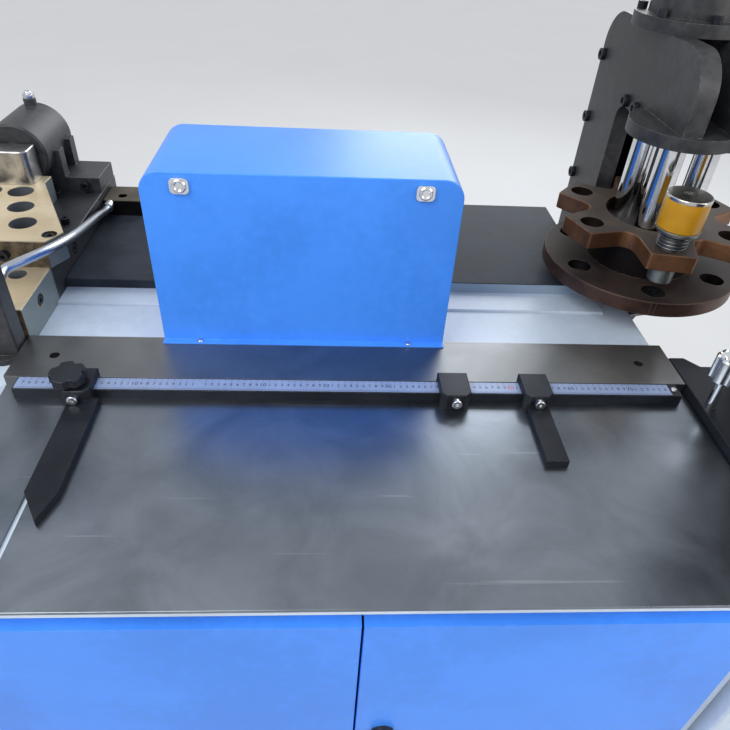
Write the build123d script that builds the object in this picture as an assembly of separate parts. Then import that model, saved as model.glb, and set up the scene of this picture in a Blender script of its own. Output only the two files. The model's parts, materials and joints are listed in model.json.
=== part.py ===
from build123d import *
import math
import os

# Busbar processing machine: one worktable that carries a punching turret, a shear and a bender.
# Origin on the floor under the middle of the base. X runs right, Y runs back, Z runs up. Millimetres.
os.makedirs("parts", exist_ok=True)

# Base frame and its feet
BASE_LENGTH = 1740.0
BASE_DEPTH = 1120.0
BEAM_WIDTH = 60.0
BEAM_HEIGHT = 80.0
BEAM_CORNER_R = 8.0
FOOT_HEIGHT = 45.0
FOOT_PAD_R = 32.0
FOOT_PAD_T = 14.0
FOOT_STEM_R = 9.0
FOOT_NUT_R = 15.0
FOOT_NUT_T = 9.0

# Worktable: a painted deck, a thin front sheet, and raised plates behind the ruler
TABLE_Z = 850.0
RAISED_T = 22.0
SHEET_T = 4.0
DECK_T = 6.0
TABLE_LEFT = -523.0
TABLE_RIGHT = 583.0
TABLE_FRONT = -545.0
TABLE_BACK = 540.0
REAR_RIGHT = 530.0
CORNER_CUT_X = 49.0
CORNER_CUT_Y = 36.0
CORNER_CUT_START_Y = 125.0
CHANNEL_FRONT = -42.0
CHANNEL_BACK = 144.0
CHANNEL_BACK_RIGHT = 160.0
CHANNEL_STEP_X = 150.0
CHANNEL_FOLD_Y = 88.0
CHANNEL_FOLD_H = 4.0
PLATE_EDGE_R = 1.2
PLATE_HOLE_R = 8.0
PLATE_HOLE_INSET = 60.0
SLOT_X = -410.0
SLOT_WIDTH = 8.0
SLOT_END_Y = -205.0

# Cabinet with two front doors
WALL_T = 3.0
CABINET_SIDE_INSET = 8.0
CABINET_FRONT_INSET = 20.0
DOOR_OPEN_WIDTH = 1008.0
DOOR_OPEN_BOTTOM = 170.0
DOOR_OPEN_TOP = 785.0
DOOR_T = 18.0
DOOR_SHEET_T = 2.0
DOOR_GAP = 0.6
DOOR_MEETING_GAP = 3.0
DOOR_OVERLAP = 6.0
LOUVRE_COUNT = 9
LOUVRE_LENGTH = 260.0
LOUVRE_HEIGHT = 7.0
LOUVRE_PITCH = 22.0
LOUVRE_Z = 560.0
HINGE_PIN_R = 4.0
HINGE_KNUCKLE_R = 7.0
HINGE_KNUCKLE_H = 28.0
HINGE_RUNNING = 0.06
HINGE_AXIAL = 0.5
HINGE_OFFSET = 8.0
HINGE_TAB_T = 3.0
HINGE_END_INSET = 90.0
LATCH_X_FROM_MIDDLE = 42.0
LATCH_Z = 500.0
LATCH_HUB_R = 17.0
LATCH_HUB_T = 9.0
LATCH_LEVER = 92.0
LATCH_LEVER_W = 15.0
LATCH_SHAFT_R = 6.0
LATCH_CAM_T = 3.0
LATCH_CAM_GAP = 0.6
LATCH_CAM_CATCH = 14.0

# Ruler on the table
RULER_LEFT = -500.0
RULER_RIGHT = 565.0
RULER_BAR_DEPTH = 30.0
RULER_FRONT = -182.0
STRIP_T = 0.8
STRIP_WIDTH = 26.0
STRIP_LENGTH = 1047.0

# Stops that slide along the ruler
STOP_DEPTH = 58.0
STOP_BACK = -145.0
STOP_TOP_T = 13.0
STOP_SEAT_GAP = 0.3
STOP_CORNER = 9.0
ARM_T = 11.0
STOP_SCREW_R = 3.0
STOP_HEAD_R = 8.0
STOP_HEAD_T = 9.0
STOPS = {
    "left": {"middle": -400.0, "width": 46.0, "arm": (-410.0, -366.0, -426.0), "pointed": True},
    "mid": {"middle": 187.0, "width": 48.0, "arm": None, "pointed": False},
    "right": {"middle": 320.0, "width": 46.0, "arm": (303.0, 336.0, -322.0), "pointed": False},
}
BLADE_POINT = 46.0
STOP_KNOB_R = 27.0
STOP_KNOB_H = 15.0
STOP_KNOB_UP = 6.0
STOP_KNOB_X = -9.0
STOP_KNOB_LOBES = 5

# Blue hood over the channel
HOOD_LEFT = -295.0
HOOD_WIDTH = 481.0
HOOD_FRONT = -49.0
HOOD_BACK = 161.0
HOOD_HEIGHT = 298.0
HOOD_TOP_R = 32.0
HOOD_SHEET_T = 2.5
HOOD_FLANGE = 12.0
HOOD_FOLD_R = 2.0
HOOD_SCREW_INSET = 62.0
HOOD_LATCH_INSET = 60.0
LATCH_PLATE_W = 28.0
LATCH_PLATE_H = 24.0
LATCH_PLATE_T = 4.0
LATCH_LOOP_R = 2.5

# Left housing with the bender
HOUSING_INSET = 2.0
HOUSING_GAP = 3.0
LEFT_HOUSING_FRONT = -150.0
LEFT_HOUSING_BACK = 545.0
HOUSING_TOP_T = 8.0
BEND_AXIS_X = -670.0
BED_HALF_WIDTH = 147.0
BED_FRONT = -42.0
BED_BACK = 535.0
BED_HEIGHT = 72.0
BED_HOLE_X = 99.0
BED_HOLE_Y = 72.0
BED_HOLE_R = 15.5
BED_HOLE_DEPTH = 50.0
BED_SIDE_SCREWS_Y = (30.0, 222.0, 380.0)
BED_SIDE_SCREW_DOWN = 26.0
BED_SCREW_POCKET_R = 12.0
BED_TOP_SCREWS = ((117.4, 279.0), (61.0, 405.0))
HOLE_PLATE_T = 52.0
HOLE_PLATE_FRONT = 98.0
PLATE_NOSE_HALF = 150.0
PLATE_WIDE_HALF = 170.0
PLATE_WIDE_Y = 138.0
PLATE_TAIL_HALF = 63.0
PLATE_TAIL_Y = 354.0
PLATE_END_Y = 392.0
PIN_HOLE_R = 24.5
PIN_HOLES = ((86.0, 170.0), (57.0, 239.0), (31.0, 309.0))
CORNER_SCREW_X = 148.0
CORNER_SCREW_Y = 128.0
CORNER_SCREW_R = 13.5
CORNER_SCREW_SINK = 14.0
BEND_CYL_R = 64.0
BEND_CYL_FRONT = 396.0
BEND_CYL_BACK = 552.0
BEND_AXIS_Z_ABOVE_BED = 92.0
BEND_ROD_R = 27.0
BEND_ROD_RUNNING = 0.06
BEND_STROKE = 120.0
BEND_HEAD_W = 92.0
BEND_HEAD_H = 68.0
BEND_HEAD_L = 50.0
BEND_HEAD_REST_GAP = 6.0
BEND_SADDLE_W = 150.0
BEND_SADDLE_T = 26.0
BEND_BASE_FRONT = 433.0
BEND_BASE_BACK = 530.0
BEND_BASE_T = 34.0
BEND_BASE_SCREWS = (44.0, 116.0)
BEND_PORT_R = 13.0
BEND_PORT_INSET = 24.0
BEND_PORT_UP = 14.0
SEAT_GAP = 0.3

# Cable guard between the gland block and the control post
GLAND_LEFT = -522.0
GLAND_WIDTH = 84.0
GLAND_FRONT = 425.0
GLAND_DEPTH = 78.0
GLAND_HEIGHT = 36.0
GLAND_HOLE_R = 10.0
GLAND_HOLE_X = 37.0
GLAND_HOLE_Y = 26.0
CONDUIT_R = 8.5
FERRULE_R = 11.0
FERRULE_L = 20.0
CONDUIT_IN = 14.0
CONDUIT_GLAND_UP = 26.0
CONDUIT_POST_UP = 110.0
CONDUIT_BOW = (
    (-508.0, 387.0, 876.0),
    (-503.0, 325.0, 896.0),
    (-497.0, 250.0, 914.0),
    (-490.0, 178.0, 933.0),
    (-488.0, 122.0, 947.0),
    (-498.0, 70.0, 955.0),
    (-518.0, 26.0, 960.0),
    (-537.0, -2.0, 960.0),
)

# Control post and box
POST_SIZE = 36.0
POST_WALL = 3.0
POST_RIGHT = -526.0
POST_FRONT = -85.0
POST_FOOT_T = 10.0
POST_FOOT_L = 92.0
POST_FOOT_W = 56.0
BOX_LEFT = -790.0
BOX_RIGHT = -518.0
BOX_BACK = -20.0
BOX_BOTTOM = 1180.0
BOX_HEIGHT = 216.0
BOX_TOP_FRONT = -92.0
BOX_BOTTOM_FRONT = -152.0
BOX_EDGE_R = 5.0
BUTTON_STEM_R = 8.0
BUTTON_GAP = 0.4
BUTTON_TRAVEL = 4.0
STOP_BUTTON_R = 20.0
STOP_BUTTON_T = 13.0
START_BUTTON_R = 12.0
START_BUTTON_T = 8.0
BUTTON_SINK = 24.0
EMERGENCY_FROM_RIGHT = 52.0
START_FROM_RIGHT = 110.0
BUTTON_UP = 60.0

# Right housing with the shear
SHEAR_LEFT = 586.0
SHEAR_FRONT = -545.0
SHEAR_BACK = -103.0
SHEAR_TONGUE_BACK = -79.0
SHEAR_TONGUE_WIDTH = 26.0
SHEAR_TONGUE_CUT = 20.0
SHEAR_BED_H = 150.0
SHEAR_X = 740.0
SHEAR_PLATE_T = 30.0
SHEAR_GUIDE_W = 40.0
SHEAR_WINDOW_FRONT = -372.0
SHEAR_WINDOW_BACK = -172.0
SHEAR_COLUMN = 57.0
SHEAR_HEIGHT = 350.0
SHEAR_WINDOW_H = 150.0
SHEAR_SHOULDER_R = 26.0
SLIDE_SIDE_GAP = 0.5
SLIDE_BOTTOM = 80.0
SLIDE_HEIGHT = 170.0
BLADE_T = 19.0
BLADE_GAP = 0.3
BLADE_OPEN = 42.0
BLADE_RAKE = 12.0
LOWER_BLADE_H = 35.0
SHEAR_STROKE = 46.0
SHEAR_ROD_R = 18.0
SHEAR_CYL_R = 70.0
SHEAR_CYL_H = 190.0
CYL_FLANGE_T = 22.0
CYL_FLANGE_EXTRA = 24.0
CYL_FLANGE_BOLTS = 6
HOLD_X = 602.0
HOLD_Y = -203.0
HOLD_ROD_R = 8.0
HOLD_ROD_UP = 56.0
HOLD_ROD_DOWN = 40.0
HOLD_KNOB_R = 24.0
HOLD_KNOB_H = 42.0
HOLD_LOBES = 6

# Punching turret
TURRET_X = 612.0
TURRET_Y = 187.0
STATIONS = 6
STATION_ANGLE = -100.0
STATION_PCD_R = 145.0
DISC_R = 186.0
LOBE_FLAT = 178.0
LOBE_HALF_WIDTH = 40.0
NOTCH_R = 105.0
NOTCH_ROUND = 24.0
LOBE_ROUND = 5.0
UPPER_DISC_BOTTOM = 970.0
UPPER_DISC_T = 32.0
LOWER_DISC_BOTTOM = 881.0
LOWER_DISC_T = 29.0
DISC_CHAMFER = 1.5
HUB_R = 88.0
HUB_RUNNING = 0.08
HUB_RECESS = 26.0
TUBE_R = 102.0
STATION_BORE_R = 22.0
KEY_PIN_R = 3.0
KEY_PIN_OUT = 3.0
SLUG_R = 17.0
DIE_SEAT_R = 22.55
DIE_R = 22.5
DIE_H = 20.0
DIE_BORE_R = 8.7
PILLAR_R = 22.5
PILLAR_PCD_R = 64.0
PILLAR_ANGLE = -121.0
PILLAR_COUNT = 3
INDEX_PCD_R = 112.0
INDEX_ANGLE = 20.0
INDEX_PIN_R = 7.0
INDEX_RUNNING = 0.06
INDEX_TRAVEL = 11.0
INDEX_HOLE_DEPTH = 12.0
INDEX_KNOB_R = 14.5
INDEX_BLOCK = 34.0

# Punch in the first station
SLEEVE_RUNNING = 0.05
SLEEVE_BOTTOM = 937.0
SLEEVE_BORE_R = 12.0
FLANGE_BOTTOM = 1035.0
FLANGE_R = 37.5
FLANGE_T = 6.0
COLLAR_R = 27.0
COLLAR_T = 5.0
RING_H = 53.4
RING_R = 37.0
RING_BORE_R = 16.0
CAP_T = 6.0
CAP_ROUND = 2.0
CAP_SOCKET_R = 10.0
PUNCH_TIP_R = 8.5
PUNCH_TIP_L = 40.0
PUNCH_TIP_SETBACK = 3.0
SPRING_WIRE_R = 1.4
SPRING_MEAN_R = 24.6
SPRING_TURNS = 4.0

# Press frame round the turret
PRESS_X = 637.0
PRESS_PLATE_T = 35.0
PRESS_GAP = 60.0
PRESS_BACK = 540.0
PRESS_COLUMN_FRONT = 385.0
PRESS_LOWER_FRONT = 150.0
PRESS_NOSE_H = 78.0
PRESS_KNEE_Y = 262.0
PRESS_LOWER_TOP = 875.0
PRESS_LOWER_H = 165.0
PRESS_UPPER_FRONT = 104.0
PRESS_UPPER_BOTTOM = 1150.0
PRESS_UPPER_H = 150.0
PRESS_THROAT_R = 30.0
PRESS_HEAD_R = 70.0
PRESS_WEB_T = 30.0
ARM_PLATE_T = 23.0
HUB_SEAT_R = 95.0
PRESS_FOOT_T = 25.0
PRESS_FOOT_OUT = 34.0
ANVIL_R = 42.0
RAM_R = 28.0
RAM_GROOVE_UP = 12.0
RAM_GROOVE_W = 3.0
RAM_END_GAP = 0.5
RAM_RUNNING = 0.06
RAM_STROKE = 40.0
PRESS_CYL_R = 78.0
PRESS_CYL_H = 170.0

# Hydraulic set inside the cabinet
TANK_LEFT = -440.0
TANK_WIDTH = 400.0
TANK_FRONT = -240.0
TANK_DEPTH = 420.0
TANK_HEIGHT = 330.0
TANK_LID_T = 4.0
TANK_LID_OUT = 6.0
FILLER_X = 70.0
FILLER_Y = 80.0
FILLER_H = 41.0
FILLER_R = 28.0
MOTOR_X = 250.0
MOTOR_R = 95.0
MOTOR_LENGTH = 280.0
MOTOR_FRONT = -150.0
MOTOR_FINS = 14
MOTOR_FOOT_FRONT = 30.0
MOTOR_FOOT_BACK = 60.0
PUMP_LENGTH = 90.0
FIN_T = 4.0
FIN_H = 9.0

# Screws
PAN_HEAD_R = 5.0
PAN_HEAD_T = 3.0
CAP_HEAD_R = 9.0
CAP_HEAD_T = 12.0
HEX_R = 4.6
HEX_DEPTH = 6.0

# Values worked out from the ones above
BASE_TOP = FOOT_HEIGHT + BEAM_HEIGHT
HOUSING_LEFT = -BASE_LENGTH / 2 + HOUSING_INSET
SHEAR_RIGHT = BASE_LENGTH / 2 - HOUSING_INSET
DECK_TOP = TABLE_Z - RAISED_T
SHEET_TOP = DECK_TOP + SHEET_T
CABINET_TOP = DECK_TOP - DECK_T
CABINET_LEFT = TABLE_LEFT + CABINET_SIDE_INSET
CABINET_RIGHT = TABLE_RIGHT - CABINET_SIDE_INSET
CABINET_FRONT = TABLE_FRONT + CABINET_FRONT_INSET
CABINET_BACK = TABLE_BACK - CABINET_SIDE_INSET
DOOR_MIDDLE_X = (CABINET_LEFT + CABINET_RIGHT) / 2
RULER_BACK = RULER_FRONT + RULER_BAR_DEPTH
BED_TOP = DECK_TOP + BED_HEIGHT
HOLE_PLATE_TOP = BED_TOP + HOLE_PLATE_T
BEND_AXIS_Z = BED_TOP + BEND_AXIS_Z_ABOVE_BED
HOOD_RIGHT = HOOD_LEFT + HOOD_WIDTH
HOOD_TOP = TABLE_Z + HOOD_HEIGHT
UPPER_DISC_TOP = UPPER_DISC_BOTTOM + UPPER_DISC_T
LOWER_DISC_TOP = LOWER_DISC_BOTTOM + LOWER_DISC_T
HUB_TOP = UPPER_DISC_TOP - HUB_RECESS
DISC_BORE_R = HUB_R + HUB_RUNNING
RING_BOTTOM = FLANGE_BOTTOM + FLANGE_T
CAP_BOTTOM = RING_BOTTOM + RING_H
CAP_TOP = CAP_BOTTOM + CAP_T
RAM_BOTTOM = CAP_TOP + RAM_END_GAP + RAM_STROKE
PRESS_UPPER_TOP = PRESS_UPPER_BOTTOM + PRESS_UPPER_H
PRESS_LEFT = PRESS_X - PRESS_GAP / 2 - PRESS_PLATE_T
PRESS_RIGHT = PRESS_X + PRESS_GAP / 2 + PRESS_PLATE_T
SHEAR_TOP = TABLE_Z + SHEAR_HEIGHT
POST_LEFT = POST_RIGHT - POST_SIZE
POST_BACK = POST_FRONT + POST_SIZE
POST_BOTTOM = DECK_TOP + POST_FOOT_T


def block(x0, x1, y0, y1, z0, z1):
    """A box between two corners."""
    return Pos((x0 + x1) / 2, (y0 + y1) / 2, (z0 + z1) / 2) * Box(x1 - x0, y1 - y0, z1 - z0)


def rod(x, y, z0, z1, radius):
    """An upright cylinder."""
    return Pos(x, y, (z0 + z1) / 2) * Cylinder(radius, z1 - z0)


def rod_y(x, z, y0, y1, radius):
    """A cylinder along Y."""
    return Pos(x, (y0 + y1) / 2, z) * Rot(90, 0, 0) * Cylinder(radius, y1 - y0)


def prism(points, z0, z1):
    """A flat outline in plan, raised from z0 to z1."""
    face = make_face(Polyline(*points, close=True))
    return Pos(0, 0, z0) * extrude(face, z1 - z0)


def side_prism(points, x0, x1):
    """An outline of Y and Z points, carried from x0 to x1."""
    plane = Plane(origin=(x0, 0, 0), x_dir=(0, 1, 0), z_dir=(1, 0, 0))
    face = plane * make_face(Polyline(*points, close=True))
    return extrude(face, x1 - x0)


def ring_point(cx, cy, radius, degrees):
    """A point on a circle in plan."""
    angle = math.radians(degrees)
    return cx + radius * math.cos(angle), cy + radius * math.sin(angle)


def upright_edges(shape):
    """The edges that run along Z."""
    return shape.edges().filter_by(Axis.Z)


def station_point(index, radius=STATION_PCD_R):
    """The middle of a turret station, counted from the one that holds the punch."""
    return ring_point(TURRET_X, TURRET_Y, radius, STATION_ANGLE + index * 360 / STATIONS)


def table_outline(inset):
    """The table in plan, with the corner beside the turret cut off, drawn in by an inset."""
    left = TABLE_LEFT + inset
    right = TABLE_RIGHT - inset
    rear_right = REAR_RIGHT - inset
    cut_start = CORNER_CUT_START_Y - inset / 2
    cut_end = CORNER_CUT_START_Y + CORNER_CUT_Y - inset / 2
    back = TABLE_BACK - inset
    return [(left, back), (rear_right, back), (rear_right, cut_end), (rear_right + CORNER_CUT_X - 4, cut_start),
            (right, cut_start), (right, TABLE_FRONT), (left, TABLE_FRONT)]


def make_base_frame():
    """A welded ring of beams with two cross beams and a stub that carries the press."""
    half_l = BASE_LENGTH / 2
    half_d = BASE_DEPTH / 2
    outer = block(-half_l, half_l, -half_d, half_d, FOOT_HEIGHT, BASE_TOP)
    outer = fillet(upright_edges(outer), BEAM_CORNER_R)
    left_cross = TABLE_LEFT
    right_cross = TABLE_RIGHT
    inner_front = -half_d + BEAM_WIDTH
    inner_back = half_d - BEAM_WIDTH
    half_w = BEAM_WIDTH / 2
    cells = block(-half_l + BEAM_WIDTH, left_cross - half_w, inner_front, inner_back, FOOT_HEIGHT, BASE_TOP)
    cells += block(left_cross + half_w, right_cross - half_w, inner_front, inner_back, FOOT_HEIGHT, BASE_TOP)
    cells += block(right_cross + half_w, half_l - BEAM_WIDTH, inner_front, inner_back, FOOT_HEIGHT, BASE_TOP)
    stub = block(PRESS_RIGHT - BEAM_WIDTH, PRESS_RIGHT, PRESS_COLUMN_FRONT - BEAM_WIDTH, inner_back,
                 FOOT_HEIGHT, BASE_TOP)
    cross = block(right_cross, half_l - BEAM_WIDTH, PRESS_COLUMN_FRONT - 2 * BEAM_WIDTH,
                  PRESS_COLUMN_FRONT - BEAM_WIDTH, FOOT_HEIGHT, BASE_TOP)
    return outer - cells + stub + cross


def foot_places():
    """Under the four corners and the two cross beams."""
    x_out = BASE_LENGTH / 2 - BEAM_WIDTH
    y_out = BASE_DEPTH / 2 - FOOT_PAD_R
    return [(x, y) for x in (-x_out, TABLE_LEFT, TABLE_RIGHT, x_out) for y in (-y_out, y_out)]


def make_levelling_feet():
    """Round pads with a stem and a lock nut under the beams."""
    feet = []
    for x, y in foot_places():
        pad = rod(x, y, 0, FOOT_PAD_T, FOOT_PAD_R)
        pad = fillet(pad.edges().group_by(Axis.Z)[-1], FOOT_PAD_T / 3)
        stem = rod(x, y, FOOT_PAD_T, FOOT_HEIGHT, FOOT_STEM_R)
        nut = Pos(x, y, FOOT_HEIGHT - FOOT_NUT_T) * extrude(RegularPolygon(FOOT_NUT_R, 6), FOOT_NUT_T)
        feet.append(pad + stem + nut)
    return Compound(feet)


def make_cabinet_shell():
    """A folded sheet cabinet with a floor, a door opening in front and louvres at the back."""
    outer = prism(cabinet_outline(0), BASE_TOP, CABINET_TOP)
    inner = prism(cabinet_outline(WALL_T), BASE_TOP + WALL_T, CABINET_TOP)
    shell = outer - inner
    half = DOOR_OPEN_WIDTH / 2
    shell -= block(DOOR_MIDDLE_X - half, DOOR_MIDDLE_X + half, CABINET_FRONT - 1, CABINET_FRONT + WALL_T + 1,
                   DOOR_OPEN_BOTTOM, DOOR_OPEN_TOP)
    for row in range(LOUVRE_COUNT):
        z = LOUVRE_Z + row * LOUVRE_PITCH
        for middle in (CABINET_LEFT / 2, REAR_RIGHT / 2):
            shell -= block(middle - LOUVRE_LENGTH / 2, middle + LOUVRE_LENGTH / 2, CABINET_BACK - WALL_T - 1,
                           CABINET_BACK + 1, z, z + LOUVRE_HEIGHT)
    return shell


def cabinet_outline(inset):
    """The cabinet in plan, set back under the deck."""
    left = CABINET_LEFT + inset
    right = CABINET_RIGHT - inset
    rear_right = REAR_RIGHT - CABINET_SIDE_INSET - inset
    cut_start = CORNER_CUT_START_Y - CABINET_SIDE_INSET / 2 - inset / 2
    back = CABINET_BACK - inset
    front = CABINET_FRONT + inset
    return [(left, back), (rear_right, back), (rear_right, cut_start + CORNER_CUT_Y), (right, cut_start),
            (right, front), (left, front)]


def make_cabinet_deck():
    """The painted top sheet, with a fold along the open channel."""
    deck = prism(table_outline(0), CABINET_TOP, DECK_TOP)
    fold = block(TABLE_LEFT, REAR_RIGHT, CHANNEL_FOLD_Y, CHANNEL_BACK, DECK_TOP, DECK_TOP + CHANNEL_FOLD_H)
    fold = chamfer(fold.edges().group_by(Axis.Y)[0].filter_by(Axis.X).group_by(Axis.Z)[-1], CHANNEL_FOLD_H - 1)
    return deck + fold


def make_front_plate():
    """The thin polished sheet in front of the ruler, with one long slot."""
    sheet = block(TABLE_LEFT, TABLE_RIGHT, TABLE_FRONT, RULER_BACK, DECK_TOP, SHEET_TOP)
    slot = block(SLOT_X - SLOT_WIDTH / 2, SLOT_X + SLOT_WIDTH / 2, TABLE_FRONT - 1, SLOT_END_Y,
                 DECK_TOP - 1, SHEET_TOP + 1)
    sheet -= slot
    front_edges = sheet.edges().filter_by(Axis.X).group_by(Axis.Y)[0].group_by(Axis.Z)[-1]
    return fillet(front_edges, PLATE_EDGE_R)


def make_raised_plate():
    """The thick ground plate between the ruler and the hood."""
    plate = block(TABLE_LEFT, TABLE_RIGHT, RULER_BACK, CHANNEL_FRONT, DECK_TOP, TABLE_Z)
    plate = chamfer(plate.edges().filter_by(Axis.X).group_by(Axis.Z)[-1].group_by(Axis.Y)[-1], PLATE_EDGE_R)
    middle_y = (RULER_BACK + CHANNEL_FRONT) / 2
    for x in (TABLE_LEFT + PLATE_HOLE_INSET, TABLE_RIGHT - PLATE_HOLE_INSET):
        plate -= rod(x, middle_y, DECK_TOP - 1, TABLE_Z + 1, PLATE_HOLE_R)
    return plate


def make_rear_plate():
    """The thick plate behind the channel, set back a little where the turret is."""
    outline = [(TABLE_LEFT, TABLE_BACK), (REAR_RIGHT, TABLE_BACK), (REAR_RIGHT, CHANNEL_BACK_RIGHT),
               (CHANNEL_STEP_X, CHANNEL_BACK_RIGHT), (CHANNEL_STEP_X, CHANNEL_BACK), (TABLE_LEFT, CHANNEL_BACK)]
    plate = prism(outline, DECK_TOP, TABLE_Z)
    return chamfer(plate.edges().group_by(Axis.Z)[-1], PLATE_EDGE_R)


def make_ruler_bar():
    """The black bar that guides the work and carries the ruler strip."""
    return block(RULER_LEFT, RULER_RIGHT, RULER_FRONT, RULER_BACK, SHEET_TOP, TABLE_Z - STRIP_T)


def make_ruler_strip():
    """The steel rule on the bar."""
    left = RULER_LEFT + (RULER_BAR_DEPTH - STRIP_WIDTH) / 2
    middle = RULER_FRONT + RULER_BAR_DEPTH / 2
    return block(left, left + STRIP_LENGTH, middle - STRIP_WIDTH / 2, middle + STRIP_WIDTH / 2,
                 TABLE_Z - STRIP_T, TABLE_Z)


def lobed_knob(x, y, bottom, radius, height, lobes):
    """A hand knob with hollows cut round its rim."""
    knob = rod(x, y, bottom, bottom + height, radius)
    for lobe in range(lobes):
        hollow_x, hollow_y = ring_point(x, y, radius * 1.13, lobe * 360 / lobes)
        knob -= rod(hollow_x, hollow_y, bottom - 1, bottom + height + 1, radius * 0.3)
    return fillet(knob.edges().group_by(Axis.Z)[-1], height / 6)


def make_stop(stop):
    """A saddle that slides on the ruler bar, with a flat arm on the table or a clamp knob where it has one."""
    half = stop["width"] / 2
    left = stop["middle"] - half
    right = stop["middle"] + half
    front = STOP_BACK - STOP_DEPTH
    top = TABLE_Z + STOP_SEAT_GAP + STOP_TOP_T
    lip_back = RULER_FRONT - STOP_SEAT_GAP
    floor = SHEET_TOP + STOP_SEAT_GAP
    saddle = block(left, right, front, STOP_BACK, TABLE_Z + STOP_SEAT_GAP, top)
    saddle += block(left, right, front, lip_back, floor, top)
    saddle = chamfer(upright_edges(saddle).group_by(Axis.Y)[0], STOP_CORNER)
    saddle = chamfer(saddle.faces().sort_by(Axis.Z)[-1].edges(), 1.2)
    if stop["arm"]:
        arm_left, arm_right, arm_end = stop["arm"]
        if stop["pointed"]:
            outline = [(arm_left, front + STOP_CORNER), (arm_left, arm_end + BLADE_POINT),
                       (arm_right - BLADE_POINT / 3, arm_end), (arm_right, arm_end + BLADE_POINT),
                       (arm_right, front + STOP_CORNER)]
        else:
            outline = [(arm_left, front + STOP_CORNER), (arm_left, arm_end), (arm_right, arm_end),
                       (arm_right, front + STOP_CORNER)]
        saddle += prism(outline, floor, floor + ARM_T)
    if stop["pointed"]:
        knob_x = stop["middle"] + STOP_KNOB_X
        knob_y = front + STOP_KNOB_R - STOP_CORNER / 2
        saddle += rod(knob_x, knob_y, top - 1, top + STOP_KNOB_UP + 1, STOP_KNOB_R / 2)
        saddle += lobed_knob(knob_x, knob_y, top + STOP_KNOB_UP, STOP_KNOB_R, STOP_KNOB_H, STOP_KNOB_LOBES)
    screw_z = (floor + top) / 2 + ARM_T / 3
    saddle -= rod_y(stop["middle"], screw_z, front - 1, lip_back + 1, STOP_SCREW_R + HINGE_RUNNING)
    return saddle


def make_stop_screw(stop):
    """The thumb screw that clamps a stop to the bar."""
    front = STOP_BACK - STOP_DEPTH
    lip_back = RULER_FRONT - STOP_SEAT_GAP
    floor = SHEET_TOP + STOP_SEAT_GAP
    top = TABLE_Z + STOP_SEAT_GAP + STOP_TOP_T
    screw_z = (floor + top) / 2 + ARM_T / 3
    x = stop["middle"]
    shank = rod_y(x, screw_z, front, lip_back, STOP_SCREW_R)
    head = rod_y(x, screw_z, front - SEAT_GAP - STOP_HEAD_T, front - SEAT_GAP, STOP_HEAD_R)
    head = chamfer(head.edges().group_by(Axis.Y)[0], 1.0)
    neck = rod_y(x, screw_z, front - SEAT_GAP, front, STOP_SCREW_R)
    socket = Plane(origin=(x, front - SEAT_GAP - STOP_HEAD_T, screw_z), z_dir=(0, 1, 0))
    hexagon = extrude(socket * RegularPolygon(STOP_SCREW_R, 6), HEX_DEPTH / 2)
    return shank + neck + head - hexagon


def make_hood_cover():
    """A folded sheet hood with rounded top corners, standing on flanges at the front and back."""
    middle_x = HOOD_LEFT + HOOD_WIDTH / 2
    plane = Plane(origin=(middle_x, HOOD_FRONT, TABLE_Z + HOOD_HEIGHT / 2), x_dir=(1, 0, 0), z_dir=(0, -1, 0))

    def body(inset):
        depth = HOOD_BACK - HOOD_FRONT - 2 * inset
        face = Rectangle(HOOD_WIDTH - 2 * inset, HOOD_HEIGHT)
        corners = face.vertices().group_by(Axis.Y)[-1]
        face = fillet(corners, HOOD_TOP_R - inset)
        return Pos(0, inset, -inset) * extrude(plane * face, -depth)

    outer = body(0)
    front_edges = outer.faces().sort_by(Axis.Y)[0].edges() + outer.faces().sort_by(Axis.Y)[-1].edges()
    folds = [edge for edge in front_edges if edge.bounding_box().max.Z > TABLE_Z + HOOD_FOLD_R]
    outer = fillet(folds, HOOD_FOLD_R)
    hood = outer - body(HOOD_SHEET_T) - block(HOOD_LEFT + HOOD_SHEET_T, HOOD_RIGHT - HOOD_SHEET_T,
                                              HOOD_FRONT + HOOD_SHEET_T, HOOD_BACK - HOOD_SHEET_T,
                                              TABLE_Z - 1, TABLE_Z + HOOD_HEIGHT / 2)
    hood += block(HOOD_LEFT, HOOD_RIGHT, HOOD_FRONT - HOOD_FLANGE, HOOD_FRONT + HOOD_SHEET_T,
                  TABLE_Z, TABLE_Z + HOOD_SHEET_T)
    hood += block(HOOD_LEFT, HOOD_RIGHT, HOOD_BACK - HOOD_SHEET_T, HOOD_BACK + HOOD_FLANGE,
                  TABLE_Z, TABLE_Z + HOOD_SHEET_T)
    skirt_bottom = DECK_TOP + CHANNEL_FOLD_H + 1
    for x in (HOOD_LEFT, HOOD_RIGHT - HOOD_SHEET_T):
        hood += block(x, x + HOOD_SHEET_T, CHANNEL_FRONT + 1, CHANNEL_BACK - 1, skirt_bottom, TABLE_Z + 1)
    return hood


def make_hood_latches():
    """Two chrome toggle latches near the top of the hood's front."""
    latches = []
    for x in (HOOD_LEFT + HOOD_LATCH_INSET, HOOD_RIGHT - HOOD_LATCH_INSET):
        top = HOOD_TOP - HOOD_TOP_R / 4
        plate = block(x - LATCH_PLATE_W / 2, x + LATCH_PLATE_W / 2, HOOD_FRONT - LATCH_PLATE_T, HOOD_FRONT,
                      top - LATCH_PLATE_H, top)
        plate = fillet(plate.edges().filter_by(Axis.Y), LATCH_PLATE_W / 4)
        loop = Pos(x, HOOD_FRONT - LATCH_PLATE_T, top - LATCH_PLATE_H / 2) * Rot(90, 0, 0) * Torus(
            LATCH_PLATE_W / 3.5, LATCH_LOOP_R)
        latches.append(plate + loop)
    return Compound(latches)


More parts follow.
